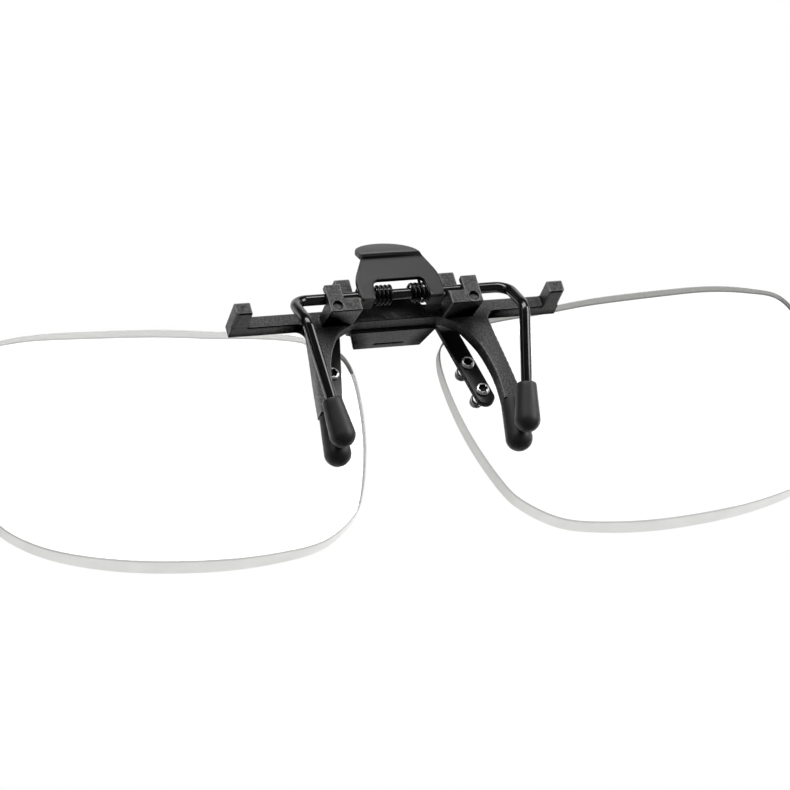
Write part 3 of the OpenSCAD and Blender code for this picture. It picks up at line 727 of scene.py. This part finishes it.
def eased(value):
    """A value from 0 to 1 that starts and ends softly"""
    value = min(max(value, 0), 1)
    return value ** 2 * (3 - 2 * value)


def choices(context):
    """The add-on's sizes and colours"""
    return context.scene.magnifier_sizes, context.scene.magnifier_colours


# Pieces


class MAGNIFIER_OT_clip_frame(bpy.types.Operator):
    """Make the moulded clip frame"""

    bl_idname = "magnifier.clip_frame"
    bl_label = "Clip Frame"

    def execute(self, context):
        sizes, colours = choices(context)
        finish = plastic_finish("frame_plastic_skin", colours.plastic, 0.27 * MM, 0.08 * MM, 0.36, 0.25)
        moulded("clip_frame", "frame_moulding", finish, "frame_plastic", "clip", sizes)
        return {"FINISHED"}


class MAGNIFIER_OT_flip_bracket(bpy.types.Operator):
    """Make the moulded bracket that carries the lens arms, and dress the hinge's pin and washers"""

    bl_idname = "magnifier.flip_bracket"
    bl_label = "Flip Bracket"

    def execute(self, context):
        sizes, colours = choices(context)
        finish = plastic_finish("bracket_plastic_skin", colours.plastic, 0.3 * MM, 0.04 * MM, 0.34, 0.5)
        moulded("flip_bracket", "bracket_moulding", finish, "bracket_plastic", "lens_carrier", sizes, 0.85)
        dress("flip_pin", steel_finish("pin_steel", (0.55, 0.55, 0.56), 0.25, (0.1, 1.0, 1.0)))
        dress("hinge_washers", nylon_finish("washer_nylon", (0.62, 0.62, 0.60), 0.2))
        return {"FINISHED"}


class MAGNIFIER_OT_rubber_ends(bpy.types.Operator):
    """Make the sleeves on the legs and the boots on the jaw wire"""

    bl_idname = "magnifier.rubber_ends"
    bl_label = "Rubber Ends"

    def seam(self, a, r, h):
        """A faint moulding seam down both sides"""
        off = min(abs(math.sin(a)), 0.2) / 0.07
        return 1 + 0.012 * math.exp(-off * off)

    def skin(self, bore, mouth_r, lip, bulb_r, length, rings, ease):
        """A rubber end from its bore over its lip and along its skin to its bulb, mouth at 0"""
        profile = bore + [(mouth_r - lip, 0)]
        profile += [
            (mouth_r - lip * (1 - math.sin(math.radians(a))), lip * (1 - math.cos(math.radians(a))))
            for a in (22, 45, 67, 90)
        ]
        for share in np.linspace(0.12, 1, rings):
            profile.append((mouth_r + (bulb_r - mouth_r) * ease(share), length * share))
        profile += [(bulb_r * math.cos(a), length + bulb_r * math.sin(a)) for a in np.linspace(0.12, 1.5, 14)]
        return turned(profile, RUBBER_SIDES, self.seam)

    def sleeve(self, side, sizes, finish):
        node = "leg_sleeve_" + side
        bulb, bulb_r = bulb_of(node)
        points = node_points(node)
        top_z = points[:, 2].max()
        ring = points[points[:, 2] > top_z - 0.01 * MM]
        top = Vector((ring.min(0) + ring.max(0)) / 2)
        mouth_r = (ring[:, 0].max() - ring[:, 0].min()) / 2
        length = top_z - bulb.z
        bore = [(0.62 * mouth_r, 0.5 * MM), (0.64 * mouth_r, 0.1 * MM)]
        verts, faces = self.skin(
            bore, mouth_r, sizes.lip_round, bulb_r, length, 14, lambda share: share ** 1.15
        )
        middles = [top.lerp(bulb, min(v.z / length, 1.0)) for v in verts]
        placed = [(middle.x + v.x, middle.y + v.y, top_z - v.z) for middle, v in zip(middles, verts)]
        new_piece("sleeve_" + side, placed, faces, [finish], "clip", "rubber", (node,))

    def boot(self, side, sizes, finish):
        node = "jaw_boot_" + side
        bulb, bulb_r = bulb_of(node)
        mouth = mouth_of(node, bulb)
        length = (bulb - mouth).length
        bore = [(WIRE_R * 0.98, 0.8 * MM), (WIRE_R * 1.03, 0.2 * MM), (WIRE_R * 1.08, 0.03 * MM)]
        verts, faces = self.skin(
            bore, BOOT_MOUTH_R, 1.4 * sizes.lip_round, bulb_r, length, 16,
            lambda share: 0.75 * share + 0.25 * eased(share),
        )
        turn = aimed(mouth, bulb)
        new_piece("boot_" + side, [turn @ v for v in verts], faces, [finish], "jaw", "rubber", (node,))

    def execute(self, context):
        sizes, colours = choices(context)
        finish = rubber_finish(colours.rubber)
        for side in SIDES:
            self.sleeve(side, sizes, finish)
            self.boot(side, sizes, finish)
        return {"FINISHED"}


class MAGNIFIER_OT_jaw_wire(bpy.types.Operator):
    """Bend the jaw's enamelled wire"""

    bl_idname = "magnifier.jaw_wire"
    bl_label = "Jaw Wire"

    def execute(self, context):
        _, colours = choices(context)
        finish = enamel_finish("wire_enamel_skin", colours.enamel, 0.13, 0.006 * MM, coat=0.25)
        half_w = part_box("jaw_wire")[1].x - WIRE_R
        points = []
        for side, sign in SIDES.items():
            bulb, _ = bulb_of("jaw_boot_" + side)
            mouth = mouth_of("jaw_boot_" + side, bulb)
            corner = Vector((sign * half_w, AXLE.y, AXLE.z))
            knee = corner + Vector((0, -KNEE_OUT, -KNEE_DROP))
            arm = [mouth.lerp(bulb, WIRE_IN_BOOT), knee, corner]
            points += arm if sign < 0 else arm[::-1]
        path = bent_path(points, [KNEE_BEND, CORNER_BEND, CORNER_BEND, KNEE_BEND])
        verts, faces = tube(path, WIRE_R, 40)
        new_piece("bow_wire", verts, faces, [finish], "jaw", "wire_enamel", ("jaw_wire",))
        return {"FINISHED"}


class MAGNIFIER_OT_thumb_lever(bpy.types.Operator):
    """Press the thumb lever from sheet, with its flap, crease, notch and the hubs of its ears"""

    bl_idname = "magnifier.thumb_lever"
    bl_label = "Thumb Lever"

    def outline(self):
        side = [
            (NOTCH_TOP_X, NOTCH_TOP, 0.9 * MM), (NOTCH_HALF_W, EAR_LOW, 0.12 * MM),
            (EAR_HALF_W - 0.12 * MM, EAR_LOW, 0.4 * MM), (EAR_HALF_W + 0.04 * MM, 2.6 * MM, 4 * MM), SHOULDER,
        ]
        reach = BEND_HALF_W - FLAP_CROWN_X
        sweep = [
            (FLAP_CROWN_X + reach * math.cos(a), BEND_Z + FLAP_SWEEP_Z + FLAP_SWEEP_H * math.sin(a), 0)
            for a in np.linspace(0, math.pi / 2, 14)
        ]
        reach = FLAP_CROWN_X + BEND_HALF_W + 0.14 * MM
        tip = [
            (FLAP_CROWN_X + reach * math.cos(a), BEND_Z + FLAP_TIP_Z + FLAP_TIP_H * math.sin(a), 0)
            for a in np.linspace(math.pi / 2, math.pi, 14)[1:]
        ]
        foot = [(BEND_HALF_W, BEND_Z - 0.1 * MM, 0.8 * MM)]
        neck = [(-BEND_HALF_W, BEND_Z - 0.05 * MM, 0.6 * MM)]
        other_side = [(-x, z, r) for x, z, r in side[::-1]]
        return rounded(side + foot + sweep + tip + neck + other_side)

    def execute(self, context):
        sizes, colours = choices(context)
        fold_start = BEND_Z - FOLD_R * FLAP_LEAN / 2
        fold_y = LEVER_NEAR_Y + LEVER_T / 2 + FOLD_R
        finish = lever_finish(colours.lever)

        def place(p, depth, far):
            if far:
                depth = LEVER_T - depth
            else:
                step = eased((p.y - CREASE_Z) / (0.42 * MM) + 1) - eased((p.y - CREASE_Z) / (1.1 * MM))
                fade = min(max((p.x - 0.5 * MM) / (4 * MM), 0), 0.75)
                depth -= sizes.crease_step * step * (1 - fade)
            if p.y <= fold_start:
                return (p.x, LEVER_NEAR_Y + depth, p.y)
            reach = FOLD_R + LEVER_T / 2 - depth
            turn = min((p.y - fold_start) / FOLD_R, FLAP_LEAN)
            y, z = fold_y - reach * math.cos(turn), fold_start + reach * math.sin(turn)
            rest = p.y - fold_start - FOLD_R * FLAP_LEAN
            if rest > 0:
                y, z = y + rest * math.sin(turn), z + rest * math.cos(turn)
            return (p.x, y, z)

        rows = [CREASE_Z + k * 0.09 * MM for k in range(-6, 7)]
        verts, faces, _ = sheet(self.outline(), [], sizes.edge_round, 4, place, 0.3 * MM, rows)
        plate = new_piece("lever_plate", verts, faces, [finish], "jaw", "lever_enamel", ("thumb_lever",))
        even_normals(plate)
        for side, sign in SIDES.items():
            near_y, back_y = LEVER_NEAR_Y + HUB_NEAR, LEVER_NEAR_Y + HUB_DEPTH
            hub = rounded([
                (near_y, EAR_LOW + 0.04 * MM, 0.1 * MM), (back_y, EAR_LOW + 0.04 * MM, 0.15 * MM),
                (back_y, HUB_TOP, 0.8 * MM), (near_y, HUB_TOP, 0.1 * MM),
            ])
            bore = circle((AXLE.y, AXLE.z), WIRE_R + 0.02 * MM, 40)
            in_x, out_x = NOTCH_HALF_W + 0.02 * MM, EAR_HALF_W + 0.2 * MM

            def across(p, depth, far):
                x = out_x - depth if far else in_x + depth
                return (sign * x, p.x, p.y)

            verts, faces, _ = sheet(hub, [bore], 0.1 * MM, 3, across, 0.5 * MM)
            ear = new_piece("lever_hub_" + side, verts, faces, [finish], "jaw", "lever_enamel")
            even_normals(ear)
        return {"FINISHED"}


class MAGNIFIER_OT_jaw_springs(bpy.types.Operator):
    """Wind the two springs that close the jaw"""

    bl_idname = "magnifier.jaw_springs"
    bl_label = "Jaw Springs"

    def execute(self, context):
        finish = steel_finish("spring_steel_skin", (0.02, 0.02, 0.02), 0.26, (0.2, 1.0, 1.0))
        seat_z = AXLE.z + COIL_R
        for side, sign in SIDES.items():
            path = [(COIL_IN_X, y, seat_z) for y in np.linspace(COIL_SEAT_Y, AXLE.y * 0.9, 8)]
            turn_steps = round(COIL_TURNS * 36)
            for k in range(turn_steps + 1):
                a = math.radians(90 + 360 * COIL_TURNS * k / turn_steps)
                x = COIL_IN_X + (COIL_OUT_X - COIL_IN_X) * k / turn_steps
                path.append((x, AXLE.y + COIL_R * math.cos(a), AXLE.z + COIL_R * math.sin(a)))
            back_y, top_z = AXLE.y + COIL_R, AXLE.z + COIL_LEG_UP
            path += [(COIL_OUT_X, back_y, z) for z in np.linspace(AXLE.z + 0.3 * MM, top_z - 0.7 * MM, 6)]
            bend = arc((back_y - COIL_BEND, top_z - COIL_BEND), COIL_BEND, 0, 90, 6)
            path += [(COIL_OUT_X, y, z) for y, z in bend]
            path.append((COIL_OUT_X, LEVER_NEAR_Y + 0.75 * MM, top_z))
            verts, faces = tube([(sign * x, y, z) for x, y, z in path], COIL_WIRE_R, 14)
            node = "jaw_spring_" + side
            spring = new_piece("spring_" + side, verts, faces, [finish], None, "spring_steel", (node,))
            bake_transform(spring)
        return {"FINISHED"}


class MAGNIFIER_OT_lens_arms(bpy.types.Operator):
    """Cut the two enamelled arms that hold the lenses"""

    bl_idname = "magnifier.lens_arms"
    bl_label = "Lens Arms"

    def execute(self, context):
        sizes, colours = choices(context)
        finish = enamel_finish("arm_enamel_skin", colours.enamel, 0.34, 0.004 * MM)
        cut = enamel_finish("arm_cut_edge", colours.enamel, 0.5, 0.01 * MM, shine=0.12)
        lean = math.degrees(math.atan2(STRIP_DOWN.y, STRIP_DOWN.x))
        for side, sign in SIDES.items():
            outer = arc(STRIP_FOOT, STRIP_HALF_W, lean - 90, lean + 90, 20)
            outer += arc(STRIP_TOP, STRIP_HALF_W, lean + 90, lean + 270, 20)
            outer = [Vector(p) for p in outer]
            holes = [circle(spot, STRIP_HOLE_R, 24) for spot in SCREWS]

            def place(p, depth, far):
                y = STRIP_NEAR_Y + (STRIP_T - depth if far else depth)
                return (sign * p.x, y, p.y)

            verts, faces, (_, first_rim) = sheet(outer, holes, sizes.edge_round, 4, place, 0.8 * MM)
            node = "lens_arm_" + side
            strip = new_piece(
                "arm_strip_" + side, verts, faces, [finish, cut], "lens_carrier", "arm_enamel", (node,)
            )
            for face in strip.data.polygons:
                if face.index >= first_rim and abs(face.normal.y) < 0.2:
                    face.material_index = 1
            even_normals(strip)
        return {"FINISHED"}


class MAGNIFIER_OT_lenses(bpy.types.Operator):
    """Cast and grind the two lenses"""

    bl_idname = "magnifier.lenses"
    bl_label = "Lenses"

    def outline(self, node, near_y):
        """The lens's outline, taken from its CAD face and smoothed between its corners"""
        shape = bmesh.new()
        shape.from_mesh(NODES[node].data)
        bmesh.ops.remove_doubles(shape, verts=shape.verts, dist=1e-6)
        flat = {f for f in shape.faces if all(abs(v.co.y - near_y) < 1e-5 for v in f.verts)}
        rim = {}
        for face in flat:
            for loop in face.loops:
                others = [f for f in loop.edge.link_faces if f is not face]
                if not others or others[0] not in flat:
                    rim[loop.vert] = loop.link_loop_next.vert
        loops = []
        while rim:
            start = next(iter(rim))
            loop, here = [], start
            while here in rim:
                loop.append(Vector((here.co.x, here.co.z)))
                here = rim.pop(here)
            loops.append(loop)
        shape.free()
        loop = max(loops, key=len)
        area = sum(loop[k - 1].x * loop[k].y - loop[k].x * loop[k - 1].y for k in range(len(loop)))
        if area < 0:
            loop.reverse()
        fine = []
        count, steps = len(loop), 3
        for k in range(count):
            a, b, c, d = loop[k - 1], loop[k], loop[(k + 1) % count], loop[(k + 2) % count]
            for s in range(steps):
                t = s / steps
                fine.append(0.5 * (
                    2 * b + (c - a) * t
                    + (2 * a - 5 * b + 4 * c - d) * t * t + (3 * b - a - 3 * c + d) * t ** 3
                ))
        return fine

    def execute(self, context):
        sizes, colours = choices(context)
        polished = clear_finish("lens_polished")
        # The last number is the strength of each rim finish's painted glow
        ground = ground_finish("lens_ground_edge", colours.ground_edge, 0.76)
        bevel = ground_finish("lens_bevel", colours.ground_edge, 0.52)
        for side, sign in SIDES.items():
            node = "lens_" + side
            low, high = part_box(node)
            near_y, mid_t = low.y, high.y - low.y
            middle = Vector(((low.x + high.x) / 2, (low.z + high.z) / 2))
            drop = LENS_CURVE_R - mid_t

            def far_y(p):
                return near_y - drop + math.sqrt(LENS_CURVE_R ** 2 - (p - middle).length_squared)

            def place(p, depth, far):
                return (p.x, far_y(p) - depth if far else near_y + depth, p.y)

            holes = [circle((sign * spot.x, spot.y), LENS_HOLE_R, 32) for spot in SCREWS]
            outer = self.outline(node, near_y)
            verts, faces, (first_far, first_rim) = sheet(outer, holes, sizes.lens_chamfer, 1, place, 1.3 * MM)
            finishes = [polished, ground, bevel]
            lens = new_piece("clear_lens_" + side, verts, faces, finishes, "lens_carrier", "lens", (node,))
            mesh = lens.data
            count = len(outer)
            normals = []
            for face in mesh.polygons:
                if face.index < first_far:
                    normals += [(0, -1, 0)] * face.loop_total
                elif face.index < first_rim:
                    for vertex in face.vertices:
                        p = mesh.vertices[vertex].co
                        n = Vector((p.x - middle.x, p.y - near_y + drop, p.z - middle.y)).normalized()
                        normals.append(tuple(n))
                else:
                    ring = (face.index - first_rim) // count
                    if face.index - first_rim < 3 * count:
                        face.material_index = 1 if ring == 1 else 2
                    normals += [tuple(face.normal)] * face.loop_total
            self.soften_rim(mesh, normals, first_rim)
            mesh.normals_split_custom_set(normals)
        return {"FINISHED"}

    def soften_rim(self, mesh, normals, first_rim):
        """Runs the rim's normals smoothly round the outline, one ring at a time"""
        gathered = {}
        for face in mesh.polygons:
            if face.index >= first_rim:
                level = round(face.normal.y, 1)
                for vertex, loop in zip(face.vertices, face.loop_indices):
                    key = (vertex, face.material_index, level > 0.3, level < -0.3)
                    gathered.setdefault(key, []).append(loop)
        for loops in gathered.values():
            mean = sum((Vector(normals[k]) for k in loops), Vector()).normalized()
            for k in loops:
                normals[k] = tuple(mean)


class MAGNIFIER_OT_lens_screws(bpy.types.Operator):
    """Turn the lens screws and their cap nuts, and dress the bushes and washers between them"""

    bl_idname = "magnifier.lens_screws"
    bl_label = "Lens Screws"

    def star(self, a, r, h):
        """The recess's outline has six lobes"""
        return 1 + 0.15 * math.cos(6 * a) if r < 0.6 * MM and h < 0.42 * MM else 1.0

    def screw(self, spot, sign, end_y):
        """Head down at the arm's near face; heights run from the head's face towards the nut"""
        profile = in_mm(
            (0.02, 0.38), (0.44, 0.37), (0.52, 0.34), (0.55, 0.06), (0.58, 0.015), (0.65, 0), (0.73, 0.01),
            (0.83, 0.07), (0.9, 0.16),
        )
        profile += [(HEAD_R, 0.27 * MM), (HEAD_R, HEAD_H - 0.02 * MM), (HEAD_R - 0.03 * MM, HEAD_H)]
        profile += [(SHANK_R, HEAD_H), (SHANK_R, end_y - STRIP_NEAR_Y + HEAD_H)]
        return self.stood(turned(profile, 72, self.star), (sign * spot.x, STRIP_NEAR_Y - HEAD_H, spot.y))

    def nut(self, spot, sign, seat_y):
        """Seat down on its washer, with a dome over a straight side"""
        side_top = NUT_H - NUT_EASE
        profile = in_mm((0.52, 0.3), (0.52, 0)) + [(NUT_R - 0.1 * MM, 0), (NUT_R - 0.02 * MM, 0.03 * MM)]
        profile += [(NUT_R, NUT_EASE), (NUT_R, side_top)]
        profile += [
            (NUT_R * math.cos(a) ** 0.8, side_top + (DOME_H + NUT_EASE) * math.sin(a))
            for a in np.linspace(0.12, 1.54, 12)
        ]
        return self.stood(turned(profile, 48), (sign * spot.x, seat_y, spot.y))

    def stood(self, made, place):
        """A turned body stood at a place, pointing forward"""
        verts, faces = made
        turn = aimed(place, Vector(place) + Vector((0, 1, 0)))
        return [turn @ v for v in verts], faces

    def blacken(self, mesh):
        """Gives the walls and the floor of the recesses the dark finish, which paints the shade in them"""
        for face in mesh.polygons:
            if STRIP_NEAR_Y - 0.47 * MM < face.center.y < STRIP_NEAR_Y:
                off = min((Vector((abs(face.center.x), face.center.z)) - spot).length for spot in SCREWS)
                face.material_index = 1 if off < 0.64 * MM else 0

    def execute(self, context):
        _, colours = choices(context)
        # Painted shade: a dark steel for the walls and floors of the heads' recesses
        recess_shade = steel_finish("recess_painted_shade", (0.02, 0.02, 0.02), 0.45, (1.0, 1.0, 1.0))
        steel = steel_finish("screw_steel", (0.86, 0.86, 0.85), 0.34, (1.0, 0.3, 1.0))
        enamel = enamel_finish("nut_enamel_skin", colours.enamel, 0.16, 0.004 * MM, coat=0.7)
        nylon = nylon_finish("bush_nylon", (0.80, 0.80, 0.78), 0.3)
        soft = rubber_finish(colours.rubber)
        for side, sign in SIDES.items():
            screws, nuts = ([], []), ([], [])
            nut_points = node_points("cap_nuts_" + side)
            for spot in SCREWS:
                away = np.hypot(nut_points[:, 0] - sign * spot.x, nut_points[:, 2] - spot.y)
                seat_y = nut_points[away < 1.2 * MM, 1].min()
                for pile, made in (
                    (screws, self.screw(spot, sign, seat_y + 0.4 * MM)), (nuts, self.nut(spot, sign, seat_y))
                ):
                    start = len(pile[0])
                    pile[0].extend(made[0])
                    pile[1].extend(tuple(start + k for k in face) for face in made[1])
            for name, pile, finishes, slot in (
                ("lens_screws_" + side, screws, [steel, recess_shade], "bright_steel"),
                ("cap_nuts_" + side, nuts, [enamel], "nut_enamel"),
            ):
                piece = new_piece("turned_" + name, *pile, finishes, "lens_carrier", slot, (name,))
                even_normals(piece)
                if recess_shade in finishes:
                    self.blacken(piece.data)
            dress("lens_bushes_" + side, nylon)
            dress("lens_washers_" + side, soft)
        return {"FINISHED"}


class MAGNIFIER_OT_stage(bpy.types.Operator):
    """Lay the pale floor and set the world, the lamps and the camera"""

    bl_idname = "magnifier.stage"
    bl_label = "Stage"

    # The photograph's camera: its axes, the place it looks at and its distance from there
    RIGHT = Vector((0.93644, -0.24780, -0.24835))
    UP = Vector((0.07505, -0.55002, 0.83177))
    BACK = Vector((-0.34271, -0.79754, -0.49646))
    MIDDLE, AWAY = Vector((-1.084, 5.718, -8.438)) * MM, 568.6 * MM
    FOCAL_PX, PHOTO_PX, SENSOR_MM = 4207.6, 790, 36
    LAMP_AIM = Vector((0, 0, -8 * MM))
    BACKDROP_TILT = -0.13
    FLOOR_R, FLOOR_Z, FLOOR_SIDES = 3.0, -0.34, 48

    def camera(self):
        lens = bpy.data.cameras.new("loupe_camera")
        lens.sensor_width = self.SENSOR_MM
        lens.lens = self.FOCAL_PX / self.PHOTO_PX * self.SENSOR_MM
        lens.clip_start, lens.clip_end = 0.01, 20
        camera = linked("loupe_camera", lens)
        turn = Matrix((self.RIGHT, self.UP, self.BACK)).transposed().to_4x4()
        camera.matrix_world = Matrix.Translation(self.MIDDLE + self.AWAY * self.BACK) @ turn
        bpy.context.scene.camera = camera

    def world(self):
        world = bpy.data.worlds.new("white_studio")
        world.use_nodes = True
        world.node_tree.nodes.clear()
        add = adder(world.node_tree)
        path, seen = seen_rays(add)
        way = add("TexCoord").outputs["Generated"]
        axis = (self.UP * self.BACKDROP_TILT - self.BACK).normalized()
        towards = add("VectorMath", {0: way, 1: axis}, operation="DOT_PRODUCT").outputs["Value"]
        backdrop = ranged(add, towards, 0.34, 0.48, 0.01, 1.0, interpolation_type="SMOOTHSTEP")
        through = maths(add, "MULTIPLY_ADD", path["Is Transmission Ray"], 0.1, 1.0)
        strength = maths(add, "MAXIMUM", product(add, seen, through), backdrop)
        light = add("Background", {"Color": (1, 1, 1, 1), "Strength": strength})
        add("OutputWorld", {"Surface": light.outputs["Background"]})
        bpy.context.scene.world = world

    def lamp(self, name, place, size, power):
        light = bpy.data.lights.new(name, "AREA")
        light.shape = "RECTANGLE"
        light.size, light.size_y = size
        light.energy = power
        aim = self.LAMP_AIM - Vector(place)
        turn = aim.to_track_quat("-Z", "Y").to_matrix().to_4x4()
        linked(name, light).matrix_world = Matrix.Translation(place) @ turn

    def floor(self, colour):
        finish, shader, add = new_finish("floor_paper")
        _, seen = seen_rays(add)
        fill(shader, {
            "Base Color": (*colour, 1),
            "Roughness": 0.8,
            "Emission Color": (1, 1, 1, 1),
            "Emission Strength": mixed(add, seen, ranged(add, along(add, "Y"), 0.38, 0.6), 0.6),
        })
        verts = [(*spot, self.FLOOR_Z) for spot in circle((0, 0), self.FLOOR_R, self.FLOOR_SIDES)]
        new_piece("paper_floor", verts, [tuple(range(self.FLOOR_SIDES))], [finish], smooth=False)

    def execute(self, context):
        _, colours = choices(context)
        context.scene.view_settings.view_transform = "Standard"
        self.floor(colours.floor)
        self.world()
        self.lamp("overhead_softbox", (-0.07, -0.472, 0.364), (0.64, 0.25), 3.6)
        self.lamp("side_softbox", (0.473, -0.365, 0.052), (0.36, 0.36), 2.3)
        self.lamp("left_strip", (-0.42, -0.22, 0.12), (0.1, 0.4), 0.12)
        self.camera()
        return {"FINISHED"}


OPERATORS = (
    MAGNIFIER_OT_stage, MAGNIFIER_OT_clip_frame, MAGNIFIER_OT_flip_bracket, MAGNIFIER_OT_rubber_ends,
    MAGNIFIER_OT_jaw_wire, MAGNIFIER_OT_thumb_lever, MAGNIFIER_OT_jaw_springs, MAGNIFIER_OT_lens_arms,
    MAGNIFIER_OT_lenses, MAGNIFIER_OT_lens_screws,
)


class MAGNIFIER_PT_pieces(bpy.types.Panel):
    """Lists the sizes, the colours and the pieces"""

    bl_idname = "MAGNIFIER_PT_pieces"
    bl_label = "Magnifier"
    bl_space_type = "VIEW_3D"
    bl_region_type = "UI"
    bl_category = "Magnifier"

    def draw(self, context):
        for group in choices(context):
            column = self.layout.column()
            for key in group.__annotations__:
                column.prop(group, key)
        for operator in OPERATORS:
            self.layout.operator(operator.bl_idname)


CLASSES = (MagnifierSizes, MagnifierColours, *OPERATORS, MAGNIFIER_PT_pieces)


def register():
    for made in CLASSES:
        bpy.utils.register_class(made)
    bpy.types.Scene.magnifier_sizes = PointerProperty(type=MagnifierSizes)
    bpy.types.Scene.magnifier_colours = PointerProperty(type=MagnifierColours)


def unregister():
    del bpy.types.Scene.magnifier_colours
    del bpy.types.Scene.magnifier_sizes
    for made in reversed(CLASSES):
        bpy.utils.unregister_class(made)


def main():
    register()
    bpy.ops.magnifier.stage()
    bpy.ops.magnifier.clip_frame()
    bpy.ops.magnifier.flip_bracket()
    bpy.ops.magnifier.rubber_ends()
    bpy.ops.magnifier.jaw_wire()
    bpy.ops.magnifier.thumb_lever()
    bpy.ops.magnifier.jaw_springs()
    bpy.ops.magnifier.lens_arms()
    bpy.ops.magnifier.lenses()
    bpy.ops.magnifier.lens_screws()


if __name__ == "__main__":
    main()
